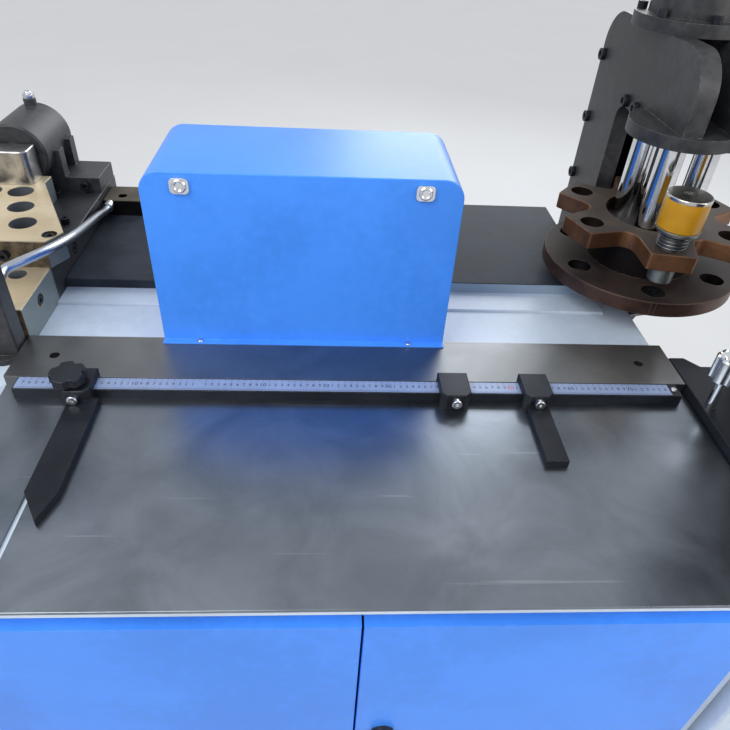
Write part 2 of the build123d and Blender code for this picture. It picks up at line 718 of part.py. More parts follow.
def make_left_housing():
    """The sheet housing under the bender, open at the bottom."""
    right = TABLE_LEFT - HOUSING_GAP
    outer = block(HOUSING_LEFT, right, LEFT_HOUSING_FRONT, LEFT_HOUSING_BACK, BASE_TOP, DECK_TOP)
    outer = fillet(upright_edges(outer), BOX_EDGE_R)
    inner = block(HOUSING_LEFT + WALL_T, right - WALL_T, LEFT_HOUSING_FRONT + WALL_T,
                  LEFT_HOUSING_BACK - WALL_T, BASE_TOP, DECK_TOP - HOUSING_TOP_T)
    return outer - inner


def make_bed_block():
    """The lower ground block of the bender."""
    left = BEND_AXIS_X - BED_HALF_WIDTH
    right = BEND_AXIS_X + BED_HALF_WIDTH
    bed = block(left, right, BED_FRONT, BED_BACK, DECK_TOP, BED_TOP)
    bed = chamfer(bed.edges().group_by(Axis.Z)[-1], PLATE_EDGE_R)
    for side in (-1, 1):
        hole_x = BEND_AXIS_X + side * BED_HOLE_X
        bed -= rod(hole_x, BED_HOLE_Y, BED_TOP - BED_HOLE_DEPTH, BED_TOP + 1, BED_HOLE_R)
    for y in BED_SIDE_SCREWS_Y:
        bed -= extrude(bed_side_plane(y) * Circle(BED_SCREW_POCKET_R), CAP_HEAD_T + 1)
    return bed


def bed_side_plane(y):
    """The floor of a screw's pocket in the right side of the bender's bed."""
    x = BEND_AXIS_X + BED_HALF_WIDTH - CAP_HEAD_T
    return Plane(origin=(x, y, BED_TOP - BED_SIDE_SCREW_DOWN), x_dir=(0, 1, 0), z_dir=(1, 0, 0))


def hole_plate_outline():
    """Wide and blunt at the front, narrowing back to the cylinder."""
    right_side = [(PLATE_NOSE_HALF, HOLE_PLATE_FRONT), (PLATE_WIDE_HALF, PLATE_WIDE_Y),
                  (PLATE_TAIL_HALF, PLATE_TAIL_Y), (PLATE_TAIL_HALF, PLATE_END_Y)]
    left_side = [(-x, y) for x, y in reversed(right_side)]
    return [(BEND_AXIS_X + x, y) for x, y in right_side + left_side]


def make_hole_plate():
    """The upper plate with its two slanted rows of pin holes."""
    plate = prism(hole_plate_outline(), BED_TOP, HOLE_PLATE_TOP)
    plate = chamfer(plate.edges().group_by(Axis.Z)[-1], PLATE_EDGE_R)
    for side in (-1, 1):
        for x, y in PIN_HOLES:
            plate -= rod(BEND_AXIS_X + side * x, y, BED_TOP - 1, HOLE_PLATE_TOP + 1, PIN_HOLE_R)
        plate -= rod(BEND_AXIS_X + side * CORNER_SCREW_X, CORNER_SCREW_Y, HOLE_PLATE_TOP - CORNER_SCREW_SINK,
                     HOLE_PLATE_TOP + 1, CORNER_SCREW_R)
    return plate


def make_bend_cylinder():
    """A hydraulic cylinder lying behind the hole plate, on two saddles and a base as wide as the bed."""
    body = rod_y(BEND_AXIS_X, BEND_AXIS_Z, BEND_CYL_FRONT, BEND_CYL_BACK, BEND_CYL_R)
    body = chamfer(body.edges().filter_by(GeomType.CIRCLE), 4)
    base = block(BEND_AXIS_X - BED_HALF_WIDTH, BEND_AXIS_X + BED_HALF_WIDTH, BEND_BASE_FRONT, BEND_BASE_BACK,
                 BED_TOP, BED_TOP + BEND_BASE_T)
    body += chamfer(base.edges().group_by(Axis.Z)[-1], PLATE_EDGE_R)
    saddle_left = BEND_AXIS_X - BEND_SADDLE_W / 2
    saddle_right = BEND_AXIS_X + BEND_SADDLE_W / 2
    for y in (BEND_BASE_FRONT, BEND_BASE_BACK - BEND_SADDLE_T):
        body += block(saddle_left, saddle_right, y, y + BEND_SADDLE_T, BED_TOP, BEND_AXIS_Z)
    port_y = BEND_CYL_BACK - BEND_PORT_INSET
    body += rod(BEND_AXIS_X, port_y, BEND_AXIS_Z, BEND_AXIS_Z + BEND_CYL_R + BEND_PORT_UP, BEND_PORT_R)
    bore_end = BEND_CYL_FRONT + BEND_STROKE + 26
    return body - rod_y(BEND_AXIS_X, BEND_AXIS_Z, BEND_CYL_FRONT - 1, bore_end, BEND_ROD_R + BEND_ROD_RUNNING)


def make_bend_ram():
    """The rod and head that push the bar against the pins."""
    back = BEND_CYL_FRONT - BEND_HEAD_REST_GAP
    front = back - BEND_HEAD_L
    head = block(BEND_AXIS_X - BEND_HEAD_W / 2, BEND_AXIS_X + BEND_HEAD_W / 2, front, back,
                 HOLE_PLATE_TOP + SEAT_GAP, HOLE_PLATE_TOP + SEAT_GAP + BEND_HEAD_H)
    head = fillet(head.edges().filter_by(Axis.Z).group_by(Axis.Y)[0], 14)
    head = chamfer(head.edges().group_by(Axis.Z)[-1], 2)
    rod_end = BEND_CYL_FRONT + BEND_STROKE + 20
    return head + rod_y(BEND_AXIS_X, BEND_AXIS_Z, front + BEND_HEAD_L / 2, rod_end, BEND_ROD_R)


def make_gland_block():
    """A block on the rear plate that the control cable comes out of."""
    right = GLAND_LEFT + GLAND_WIDTH
    back = GLAND_FRONT + GLAND_DEPTH
    body = block(GLAND_LEFT, right, GLAND_FRONT, back, TABLE_Z, TABLE_Z + GLAND_HEIGHT)
    body = chamfer(body.edges().group_by(Axis.Z)[-1], PLATE_EDGE_R)
    return body - rod(GLAND_LEFT + GLAND_HOLE_X, GLAND_FRONT + GLAND_HOLE_Y, TABLE_Z + GLAND_HEIGHT / 2,
                      TABLE_Z + GLAND_HEIGHT + 1, GLAND_HOLE_R)


# The cable guard's route, from the gland block forward to the control post
CONDUIT_START = (GLAND_LEFT + CONDUIT_IN, GLAND_FRONT, TABLE_Z + CONDUIT_GLAND_UP)
CONDUIT_END = (POST_RIGHT - POST_SIZE / 2, POST_BACK, TABLE_Z + CONDUIT_POST_UP)
CONDUIT_ROUTE = [
    (CONDUIT_START[0], CONDUIT_START[1] - FERRULE_L, CONDUIT_START[2]),
    *CONDUIT_BOW,
    (CONDUIT_END[0], CONDUIT_END[1] + FERRULE_L + CONDUIT_IN, CONDUIT_END[2]),
    (CONDUIT_END[0], CONDUIT_END[1] + FERRULE_L, CONDUIT_END[2]),
]


def bend_radii(points):
    """For each corner of a route, the largest arc that its two runs allow."""
    radii = []
    for before, here, after in zip(points, points[1:], points[2:]):
        run_in = Vector(*here) - Vector(*before)
        run_out = Vector(*after) - Vector(*here)
        turn = math.radians(run_in.get_angle(run_out))
        radii.append(0.45 * min(run_in.length, run_out.length) / math.tan(turn / 2))
    return radii


def make_cable_conduit():
    """The flexible metal cable guard, held at both ends."""
    radii = bend_radii(CONDUIT_ROUTE)
    print("conduit radii", [round(radius) for radius in radii])
    path = FilletPolyline(*CONDUIT_ROUTE, radius=radii)
    start = Vector(*CONDUIT_ROUTE[0])
    toward = (Vector(*CONDUIT_ROUTE[1]) - start).normalized()
    section = Plane(origin=start, z_dir=toward) * Circle(CONDUIT_R)
    tube = sweep(section, path=path)
    print("conduit volume share", round(tube.volume / (math.pi * CONDUIT_R ** 2 * path.length), 4))
    return tube


def make_conduit_glands():
    """The ferrules at both ends of the cable guard."""
    x, y, z = CONDUIT_START
    near = rod_y(x, z, y - FERRULE_L + SEAT_GAP, y, FERRULE_R)
    x, y, z = CONDUIT_END
    far = rod_y(x, z, y, y + FERRULE_L - SEAT_GAP, FERRULE_R)
    return Compound([near, far])


def make_control_post():
    """A square tube on a rounded foot plate."""
    foot_middle_x = POST_RIGHT - POST_FOOT_L / 2
    foot = Pos(foot_middle_x, POST_FRONT + POST_SIZE / 2 - 6, DECK_TOP) * extrude(
        SlotOverall(POST_FOOT_L, POST_FOOT_W), POST_FOOT_T)
    tube = block(POST_LEFT, POST_RIGHT, POST_FRONT, POST_BACK, POST_BOTTOM, BOX_BOTTOM)
    tube = fillet(upright_edges(tube), POST_WALL)
    hollow = block(POST_LEFT + POST_WALL, POST_RIGHT - POST_WALL, POST_FRONT + POST_WALL, POST_BACK - POST_WALL,
                   POST_BOTTOM + POST_WALL, BOX_BOTTOM)
    return foot + tube - hollow


def panel_plane(x, up):
    """A plane on the box's sloping front, at x and a distance up the slope, facing the operator."""
    run = BOX_TOP_FRONT - BOX_BOTTOM_FRONT
    slope = Vector(0, run, BOX_HEIGHT).normalized()
    origin = Vector(x, BOX_BOTTOM_FRONT, BOX_BOTTOM) + slope * up
    return Plane(origin=origin, x_dir=(1, 0, 0), z_dir=Vector(0, -slope.Z, slope.Y))


def make_control_box():
    """The operator's box, with a sloping front and two button bores."""
    outline = [(BOX_BOTTOM_FRONT, BOX_BOTTOM), (BOX_TOP_FRONT, BOX_BOTTOM + BOX_HEIGHT),
               (BOX_BACK, BOX_BOTTOM + BOX_HEIGHT), (BOX_BACK, BOX_BOTTOM)]
    box = fillet(side_prism(outline, BOX_LEFT, BOX_RIGHT).edges(), BOX_EDGE_R)
    for x, up in (EMERGENCY_PLACE, START_PLACE):
        bore = panel_plane(x, up) * Circle(BUTTON_STEM_R + BUTTON_GAP)
        box -= extrude(bore, -BUTTON_SINK - BUTTON_TRAVEL - 1)
    return box


EMERGENCY_PLACE = (BOX_RIGHT - EMERGENCY_FROM_RIGHT, BUTTON_UP)
START_PLACE = (BOX_RIGHT - START_FROM_RIGHT, BUTTON_UP)


def make_button(place, radius, thickness):
    """A push button standing off the panel by its travel."""
    plane = panel_plane(*place)
    lift = BUTTON_TRAVEL + SEAT_GAP
    head = extrude(plane.offset(lift) * Circle(radius), thickness)
    head = fillet(head.edges().filter_by(GeomType.CIRCLE), thickness / 4)
    stem = extrude(plane.offset(lift + thickness / 2) * Circle(BUTTON_STEM_R), -BUTTON_SINK - thickness / 2)
    return head + stem


def make_right_housing():
    """The sheet housing under the shear, open at the bottom."""
    left = SHEAR_LEFT + 2
    back = SHEAR_BACK - 2
    top = TABLE_Z - SHEAR_BED_H
    outer = block(left, SHEAR_RIGHT, SHEAR_FRONT, back, BASE_TOP, top)
    outer = fillet(upright_edges(outer), BOX_EDGE_R)
    inner = block(left + WALL_T, SHEAR_RIGHT - WALL_T, SHEAR_FRONT + WALL_T, back - WALL_T,
                  BASE_TOP, top - HOUSING_TOP_T)
    return outer - inner - shear_chute()


def shear_chute():
    """The slot that cut pieces fall through, in the bed and in the housing's top."""
    return block(SHEAR_X - SHEAR_GUIDE_W / 2, SHEAR_X - BLADE_GAP, SHEAR_WINDOW_FRONT, SHEAR_WINDOW_BACK,
                 TABLE_Z - SHEAR_BED_H - 2 * HOUSING_TOP_T, TABLE_Z + 1)


def make_shear_bed():
    """The black bed of the shear, flush with the table, with the chute for cut pieces."""
    tongue_right = SHEAR_LEFT + SHEAR_TONGUE_WIDTH
    outline = [(SHEAR_LEFT, SHEAR_FRONT), (SHEAR_RIGHT, SHEAR_FRONT), (SHEAR_RIGHT, SHEAR_BACK),
               (tongue_right + SHEAR_TONGUE_CUT, SHEAR_BACK), (tongue_right, SHEAR_TONGUE_BACK),
               (SHEAR_LEFT, SHEAR_TONGUE_BACK)]
    bed = prism(outline, TABLE_Z - SHEAR_BED_H, TABLE_Z)
    bed = chamfer(bed.edges().group_by(Axis.Z)[-1], PLATE_EDGE_R)
    half_guide = SHEAR_GUIDE_W / 2
    bed -= block(SHEAR_X - half_guide, SHEAR_X + half_guide, SHEAR_WINDOW_FRONT, SHEAR_WINDOW_BACK,
                 TABLE_Z - LOWER_BLADE_H, TABLE_Z + 1)
    bed -= shear_chute()
    return bed - rod(HOLD_X, HOLD_Y, TABLE_Z - HOLD_ROD_DOWN, TABLE_Z + 1, HOLD_ROD_R + HINGE_RUNNING)


def make_shear_frame():
    """Two window plates joined by columns and a head, with the guide between them."""
    front = SHEAR_WINDOW_FRONT - SHEAR_COLUMN
    back = SHEAR_WINDOW_BACK + SHEAR_COLUMN
    half = SHEAR_GUIDE_W / 2 + SHEAR_PLATE_T
    frame = block(SHEAR_X - half, SHEAR_X + half, front, back, TABLE_Z, SHEAR_TOP)
    frame = fillet(frame.edges().filter_by(Axis.X).group_by(Axis.Z)[-1], SHEAR_SHOULDER_R)
    window = block(SHEAR_X - half - 1, SHEAR_X + half + 1, SHEAR_WINDOW_FRONT, SHEAR_WINDOW_BACK,
                   TABLE_Z - 1, TABLE_Z + SHEAR_WINDOW_H)
    window = fillet(window.edges().filter_by(Axis.X).group_by(Axis.Z)[-1], SHEAR_SHOULDER_R / 2)
    guide_top = TABLE_Z + SLIDE_BOTTOM + SLIDE_HEIGHT + 10
    guide = block(SHEAR_X - SHEAR_GUIDE_W / 2, SHEAR_X + SHEAR_GUIDE_W / 2, SHEAR_WINDOW_FRONT,
                  SHEAR_WINDOW_BACK, TABLE_Z - 1, guide_top)
    bore = rod(SHEAR_X, shear_middle_y(), guide_top - 1, SHEAR_TOP + 1, SHEAR_ROD_R + RAM_RUNNING)
    return frame - window - guide - bore


def shear_middle_y():
    """The middle of the shear's window."""
    return (SHEAR_WINDOW_FRONT + SHEAR_WINDOW_BACK) / 2


def make_lower_blade():
    """The fixed blade, let into the bed."""
    return block(SHEAR_X, SHEAR_X + SHEAR_GUIDE_W / 2, SHEAR_WINDOW_FRONT, SHEAR_WINDOW_BACK,
                 TABLE_Z - LOWER_BLADE_H, TABLE_Z)


def make_upper_blade():
    """The moving blade, with a raked cutting edge."""
    front = SHEAR_WINDOW_FRONT + 6
    back = SHEAR_WINDOW_BACK - 6
    top = TABLE_Z + SLIDE_BOTTOM
    edge = TABLE_Z + BLADE_OPEN
    outline = [(front, top), (back, top), (back, edge + BLADE_RAKE), (front, edge)]
    return side_prism(outline, SHEAR_X - BLADE_GAP - BLADE_T, SHEAR_X - BLADE_GAP)


def make_blade_slide():
    """The guided slide above the blade, with the rod that pushes it."""
    half = SHEAR_GUIDE_W / 2 - SLIDE_SIDE_GAP
    bottom = TABLE_Z + SLIDE_BOTTOM
    slide = block(SHEAR_X - half, SHEAR_X + half, SHEAR_WINDOW_FRONT + SLIDE_SIDE_GAP,
                  SHEAR_WINDOW_BACK - SLIDE_SIDE_GAP, bottom, bottom + SLIDE_HEIGHT)
    slide = chamfer(slide.edges().group_by(Axis.Z)[-1], 1)
    rod_top = SHEAR_TOP + SHEAR_STROKE + 30
    return slide + rod(SHEAR_X, shear_middle_y(), bottom + SLIDE_HEIGHT / 2, rod_top, SHEAR_ROD_R)


def upright_cylinder(x, y, bottom, radius, height, rod_radius, stroke):
    """A hydraulic cylinder on a bolted flange, with a cap, a port and a bore for its rod."""
    flange = rod(x, y, bottom, bottom + CYL_FLANGE_T, radius + CYL_FLANGE_EXTRA)
    body = rod(x, y, bottom + CYL_FLANGE_T, bottom + height, radius)
    cap = rod(x, y, bottom + height - CYL_FLANGE_T, bottom + height, radius + CYL_FLANGE_EXTRA / 2)
    cap = fillet(cap.edges().group_by(Axis.Z)[-1], 5)
    port = rod_y(x, bottom + height - CYL_FLANGE_T * 2, y, y + radius + 22, 12)
    hollow = rod(x, y, bottom - 1, bottom + stroke + 40, rod_radius + RAM_RUNNING)
    return flange + body + cap + port - hollow


def make_shear_cylinder():
    """The cylinder that drives the shear."""
    return upright_cylinder(SHEAR_X, shear_middle_y(), SHEAR_TOP, SHEAR_CYL_R, SHEAR_CYL_H, SHEAR_ROD_R,
                            SHEAR_STROKE)


def make_hold_down_screw():
    """The bright guide rod beside the ruler, with its lobed knob."""
    top = TABLE_Z + HOLD_ROD_UP
    shaft = rod(HOLD_X, HOLD_Y, TABLE_Z - HOLD_ROD_DOWN + SEAT_GAP, top, HOLD_ROD_R)
    return shaft + lobed_knob(HOLD_X, HOLD_Y, top, HOLD_KNOB_R, HOLD_KNOB_H, HOLD_LOBES)


def make_upper_disc():
    """The six-lobed disc that holds the punches."""
    points = []
    for index in range(STATIONS):
        angle = STATION_ANGLE + index * 360 / STATIONS
        along = Vector(math.cos(math.radians(angle)), math.sin(math.radians(angle)))
        across = Vector(-along.Y, along.X)
        for side in (-1, 1):
            corner = along * LOBE_FLAT + across * side * LOBE_HALF_WIDTH
            points.append((TURRET_X + corner.X, TURRET_Y + corner.Y))
        points.append(ring_point(TURRET_X, TURRET_Y, NOTCH_R, angle + 180 / STATIONS))
    disc = prism(points, UPPER_DISC_BOTTOM, UPPER_DISC_TOP)

    def reach(edge):
        middle = edge.center()
        return math.hypot(middle.X - TURRET_X, middle.Y - TURRET_Y)

    uprights = upright_edges(disc)
    disc = fillet([edge for edge in uprights if reach(edge) < NOTCH_R + 1], NOTCH_ROUND)
    disc = fillet([edge for edge in upright_edges(disc) if reach(edge) > LOBE_FLAT], LOBE_ROUND)
    disc = chamfer(disc.edges().group_by(Axis.Z)[-1] + disc.edges().group_by(Axis.Z)[0], DISC_CHAMFER)
    disc -= rod(TURRET_X, TURRET_Y, UPPER_DISC_BOTTOM - 1, UPPER_DISC_TOP + 1, DISC_BORE_R)
    for index in range(STATIONS):
        x, y = station_point(index)
        disc -= rod(x, y, UPPER_DISC_BOTTOM - 1, UPPER_DISC_TOP + 1, STATION_BORE_R)
        px, py = station_point(index, STATION_PCD_R + STATION_BORE_R)
        turn = Rot(0, 0, STATION_ANGLE + index * 360 / STATIONS) * Rot(0, 90, 0)
        disc += Pos(px, py, UPPER_DISC_BOTTOM + UPPER_DISC_T / 2) * turn * Cylinder(KEY_PIN_R, 2 * KEY_PIN_OUT)
    return disc


def make_lower_disc():
    """The round disc with the die seats, and the tube that spaces the upper disc."""
    disc = rod(TURRET_X, TURRET_Y, LOWER_DISC_BOTTOM, LOWER_DISC_TOP, DISC_R)
    disc = chamfer(disc.edges().filter_by(GeomType.CIRCLE), DISC_CHAMFER)
    disc += rod(TURRET_X, TURRET_Y, LOWER_DISC_TOP, UPPER_DISC_BOTTOM, TUBE_R)
    disc -= rod(TURRET_X, TURRET_Y, LOWER_DISC_BOTTOM - 1, UPPER_DISC_BOTTOM + 1, DISC_BORE_R)
    for index in range(STATIONS):
        x, y = station_point(index)
        disc -= rod(x, y, LOWER_DISC_BOTTOM - 1, LOWER_DISC_TOP + 1, SLUG_R)
        disc -= rod(x, y, LOWER_DISC_TOP - DIE_H, LOWER_DISC_TOP + 1, DIE_SEAT_R)
    for index in range(2 * STATIONS):
        x, y = ring_point(TURRET_X, TURRET_Y, INDEX_PCD_R, INDEX_ANGLE + index * 180 / STATIONS)
        disc -= rod(x, y, LOWER_DISC_BOTTOM - 1, LOWER_DISC_BOTTOM + INDEX_HOLE_DEPTH, INDEX_PIN_R + SEAT_GAP)
    return disc


def make_die_button():
    """The die under the punch."""
    x, y = station_point(0)
    button = rod(x, y, LOWER_DISC_TOP - DIE_H, LOWER_DISC_TOP, DIE_R)
    button = chamfer(button.edges().group_by(Axis.Z)[-1], 0.8)
    button -= rod(x, y, LOWER_DISC_TOP - DIE_H - 1, LOWER_DISC_TOP + 1, DIE_BORE_R)
    return button - rod(x, y, LOWER_DISC_TOP - DIE_H - 1, LOWER_DISC_TOP - DIE_H / 3, DIE_BORE_R + 1.5)


def make_punch_sleeve():
    """The guide sleeve of the punch, with its grooves, bore and keyway."""
    x, y = station_point(0)
    radius = STATION_BORE_R - SLEEVE_RUNNING
    sleeve = rod(x, y, SLEEVE_BOTTOM, FLANGE_BOTTOM, radius)
    sleeve = chamfer(sleeve.edges().group_by(Axis.Z)[0], 2.0)
    for z in (SLEEVE_BOTTOM + 24, SLEEVE_BOTTOM + 30, FLANGE_BOTTOM - 14):
        sleeve -= rod(x, y, z, z + 0.8, radius + 1) - rod(x, y, z - 1, z + 2, radius - 0.5)
    sleeve -= rod(x, y, SLEEVE_BOTTOM - 1, FLANGE_BOTTOM + 1, SLEEVE_BORE_R)
    kx, ky = station_point(0, STATION_PCD_R + STATION_BORE_R)
    angle = STATION_ANGLE
    key_bottom = UPPER_DISC_BOTTOM + UPPER_DISC_T / 2 - KEY_PIN_R - SEAT_GAP
    keyway = Pos(kx, ky, (key_bottom + FLANGE_BOTTOM - COLLAR_T) / 2) * Rot(0, 0, angle) * Box(
        2 * (KEY_PIN_OUT + SEAT_GAP), 2 * (KEY_PIN_R + SEAT_GAP), FLANGE_BOTTOM - COLLAR_T - key_bottom)
    return sleeve - keyway


def make_punch_flange():
    """The steel flange under the yellow ring, with a collar for the coil spring."""
    x, y = station_point(0)
    flange = rod(x, y, FLANGE_BOTTOM, FLANGE_BOTTOM + FLANGE_T, FLANGE_R)
    flange = chamfer(flange.edges().filter_by(GeomType.CIRCLE), 0.8)
    collar = rod(x, y, FLANGE_BOTTOM - COLLAR_T, FLANGE_BOTTOM, COLLAR_R)
    collar -= rod(x, y, FLANGE_BOTTOM - COLLAR_T - 1, FLANGE_BOTTOM, STATION_BORE_R)
    return flange + collar - rod(x, y, FLANGE_BOTTOM - 1, FLANGE_BOTTOM + FLANGE_T + 1, SLEEVE_BORE_R)


def make_coil_spring():
    """The return spring between the upper disc and the flange."""
    x, y = station_point(0)
    low = UPPER_DISC_TOP + SPRING_WIRE_R + SEAT_GAP
    high = FLANGE_BOTTOM - COLLAR_T - SPRING_WIRE_R - SEAT_GAP
    path = Pos(x, y, low) * Helix(pitch=(high - low) / SPRING_TURNS, height=high - low, radius=SPRING_MEAN_R)
    start = path @ 0
    section = Plane(origin=start, z_dir=path % 0) * Circle(SPRING_WIRE_R)
    return sweep(section, path=path, is_frenet=True)


def make_punch_ring():
    """The yellow elastic ring that strips the punch."""
    x, y = station_point(0)
    ring = rod(x, y, RING_BOTTOM + SEAT_GAP, CAP_BOTTOM - SEAT_GAP, RING_R)
    ring = fillet(ring.edges().filter_by(GeomType.CIRCLE), 1.2)
    return ring - rod(x, y, RING_BOTTOM, CAP_BOTTOM, RING_BORE_R)


def make_punch_cap():
    """The steel cap that the ram presses on, with a sunk socket screw."""
    x, y = station_point(0)
    cap = rod(x, y, CAP_BOTTOM, CAP_TOP, FLANGE_R)
    cap = fillet(cap.edges().group_by(Axis.Z)[-1], CAP_ROUND)
    cap -= rod(x, y, CAP_TOP - CAP_T / 2, CAP_TOP + 1, CAP_SOCKET_R)
    screw = rod(x, y, CAP_TOP - CAP_T / 2, CAP_TOP - 0.6, CAP_SOCKET_R - 1)
    screw -= Pos(x, y, CAP_TOP - CAP_T / 2 + 0.6) * extrude(RegularPolygon(CAP_SOCKET_R / 2, 6), CAP_T)
    return cap + screw


def make_punch_pin():
    """The punch itself, guided in the sleeve, with its reduced tip."""
    x, y = station_point(0)
    tip_bottom = SLEEVE_BOTTOM + PUNCH_TIP_SETBACK
    guide = rod(x, y, tip_bottom + PUNCH_TIP_L, CAP_BOTTOM, SLEEVE_BORE_R - SLEEVE_RUNNING)
    return guide + rod(x, y, tip_bottom, tip_bottom + PUNCH_TIP_L, PUNCH_TIP_R)


def make_turret_hub():
    """The fixed hub that both discs turn on."""
    hub = rod(TURRET_X, TURRET_Y, PRESS_LOWER_TOP, HUB_TOP, HUB_R)
    hub = chamfer(hub.edges().group_by(Axis.Z)[-1], 1.5)
    seat_top = LOWER_DISC_BOTTOM - SEAT_GAP
    return hub + rod(TURRET_X, TURRET_Y, PRESS_LOWER_TOP, seat_top, HUB_SEAT_R)


def make_hub_pillars():
    """Bright pillars from the hub up to the press head."""
    pillars = []
    for index in range(PILLAR_COUNT):
        x, y = ring_point(TURRET_X, TURRET_Y, PILLAR_PCD_R, PILLAR_ANGLE + index * 360 / PILLAR_COUNT)
        pillars.append(rod(x, y, HUB_TOP, PRESS_UPPER_BOTTOM, PILLAR_R))
    return Compound(pillars)


def press_outline():
    """The side plate of the press, in Y and Z: a column, a lower arm on a bracket and an upper arm."""
    lower_bottom = PRESS_LOWER_TOP - PRESS_LOWER_H
    return [(PRESS_BACK, BASE_TOP), (PRESS_BACK, PRESS_UPPER_TOP), (PRESS_UPPER_FRONT, PRESS_UPPER_TOP),
            (PRESS_UPPER_FRONT, PRESS_UPPER_BOTTOM), (PRESS_COLUMN_FRONT, PRESS_UPPER_BOTTOM),
            (PRESS_COLUMN_FRONT, PRESS_LOWER_TOP), (PRESS_LOWER_FRONT, PRESS_LOWER_TOP),
            (PRESS_LOWER_FRONT, PRESS_LOWER_TOP - PRESS_NOSE_H), (PRESS_KNEE_Y, lower_bottom),
            (PRESS_COLUMN_FRONT - PRESS_PLATE_T, lower_bottom - PRESS_LOWER_H),
            (PRESS_COLUMN_FRONT - PRESS_PLATE_T, BASE_TOP)]


def make_press_frame():
    """Two thick side plates joined by webs, the arm plates, the anvil and the foot."""
    plate = side_prism(press_outline(), PRESS_LEFT, PRESS_LEFT + PRESS_PLATE_T)

    def at(y, z):
        return [edge for edge in plate.edges().filter_by(Axis.X)
                if abs(edge.center().Y - y) < 1 and abs(edge.center().Z - z) < 1]

    throat = at(PRESS_COLUMN_FRONT, PRESS_UPPER_BOTTOM) + at(PRESS_COLUMN_FRONT, PRESS_LOWER_TOP)
    plate = fillet(throat, PRESS_THROAT_R)
    plate = fillet(at(PRESS_BACK, PRESS_UPPER_TOP) + at(PRESS_UPPER_FRONT, PRESS_UPPER_TOP), PRESS_HEAD_R)
    frame = plate + Pos(PRESS_PLATE_T + PRESS_GAP, 0, 0) * plate
    inner_left = PRESS_LEFT + PRESS_PLATE_T
    inner_right = PRESS_RIGHT - PRESS_PLATE_T
    frame += block(inner_left, inner_right, PRESS_BACK - PRESS_WEB_T, PRESS_BACK - 4, BASE_TOP,
                   PRESS_UPPER_TOP - PRESS_HEAD_R)
    frame += block(inner_left, inner_right, PRESS_LOWER_FRONT, PRESS_COLUMN_FRONT + PRESS_WEB_T,
                   PRESS_LOWER_TOP - ARM_PLATE_T, PRESS_LOWER_TOP)
    frame += block(inner_left, inner_right, PRESS_UPPER_FRONT, PRESS_COLUMN_FRONT + PRESS_WEB_T,
                   PRESS_UPPER_BOTTOM, PRESS_UPPER_BOTTOM + ARM_PLATE_T)
    frame += rod(TURRET_X, TURRET_Y, PRESS_LOWER_TOP - ARM_PLATE_T, PRESS_LOWER_TOP, HUB_SEAT_R)
    frame += rod(TURRET_X, TURRET_Y, PRESS_UPPER_BOTTOM, PRESS_UPPER_BOTTOM + ARM_PLATE_T, HUB_SEAT_R)
    frame += block(PRESS_LEFT - PRESS_FOOT_OUT / 3, PRESS_RIGHT + PRESS_FOOT_OUT,
                   PRESS_COLUMN_FRONT - PRESS_PLATE_T - PRESS_FOOT_OUT, PRESS_BACK, BASE_TOP,
                   BASE_TOP + PRESS_FOOT_T)
    work_x, work_y = station_point(3)
    frame += rod(work_x, work_y, PRESS_LOWER_TOP, LOWER_DISC_BOTTOM - SEAT_GAP, ANVIL_R)
    index_x, index_y = ring_point(TURRET_X, TURRET_Y, INDEX_PCD_R, INDEX_ANGLE)
    half_block = INDEX_BLOCK / 2
    frame += block(PRESS_RIGHT - 1, index_x + half_block, index_y - half_block, index_y + half_block,
                   PRESS_LOWER_TOP - ARM_PLATE_T, PRESS_LOWER_TOP)
    frame -= rod(work_x, work_y, PRESS_LOWER_TOP - ARM_PLATE_T - 1, LOWER_DISC_BOTTOM, SLUG_R + 1)
    frame -= rod(index_x, index_y, PRESS_LOWER_TOP - ARM_PLATE_T - 1, PRESS_LOWER_TOP + 1,
                 INDEX_PIN_R + INDEX_RUNNING)
    return frame - rod(work_x, work_y, PRESS_UPPER_BOTTOM - 1, PRESS_UPPER_TOP + 1, RAM_R + RAM_RUNNING)


def make_press_cylinder():
    """The cylinder over the working station."""
    x, y = station_point(3)
    return upright_cylinder(x, y, PRESS_UPPER_TOP, PRESS_CYL_R, PRESS_CYL_H, RAM_R, RAM_STROKE)


def make_press_ram():
    """The ram, grooved near its pressing face. Its stroke ends just above the punch cap."""
    x, y = station_point(3)
    ram = rod(x, y, RAM_BOTTOM, PRESS_UPPER_TOP + RAM_STROKE + 30, RAM_R)
    ram = chamfer(ram.edges().filter_by(GeomType.CIRCLE), 1.5)
    groove_z = RAM_BOTTOM + RAM_GROOVE_UP
    groove = rod(x, y, groove_z, groove_z + RAM_GROOVE_W, RAM_R + 1)
    return ram - (groove - rod(x, y, groove_z - 1, groove_z + RAM_GROOVE_W + 1, RAM_R - 2))


def make_index_plunger():
    """The hand plunger that locks the turret from below, drawn down out of its hole."""
    x, y = ring_point(TURRET_X, TURRET_Y, INDEX_PCD_R, INDEX_ANGLE)
    top = LOWER_DISC_BOTTOM - 1
    bottom = PRESS_LOWER_TOP - ARM_PLATE_T - INDEX_TRAVEL - SEAT_GAP
    pin = rod(x, y, bottom, top, INDEX_PIN_R)
    pin = chamfer(pin.edges().group_by(Axis.Z)[-1], 1.5)
    knob = rod(x, y, bottom - 26, bottom, INDEX_KNOB_R)
    return pin + fillet(knob.edges().filter_by(GeomType.CIRCLE), 3)


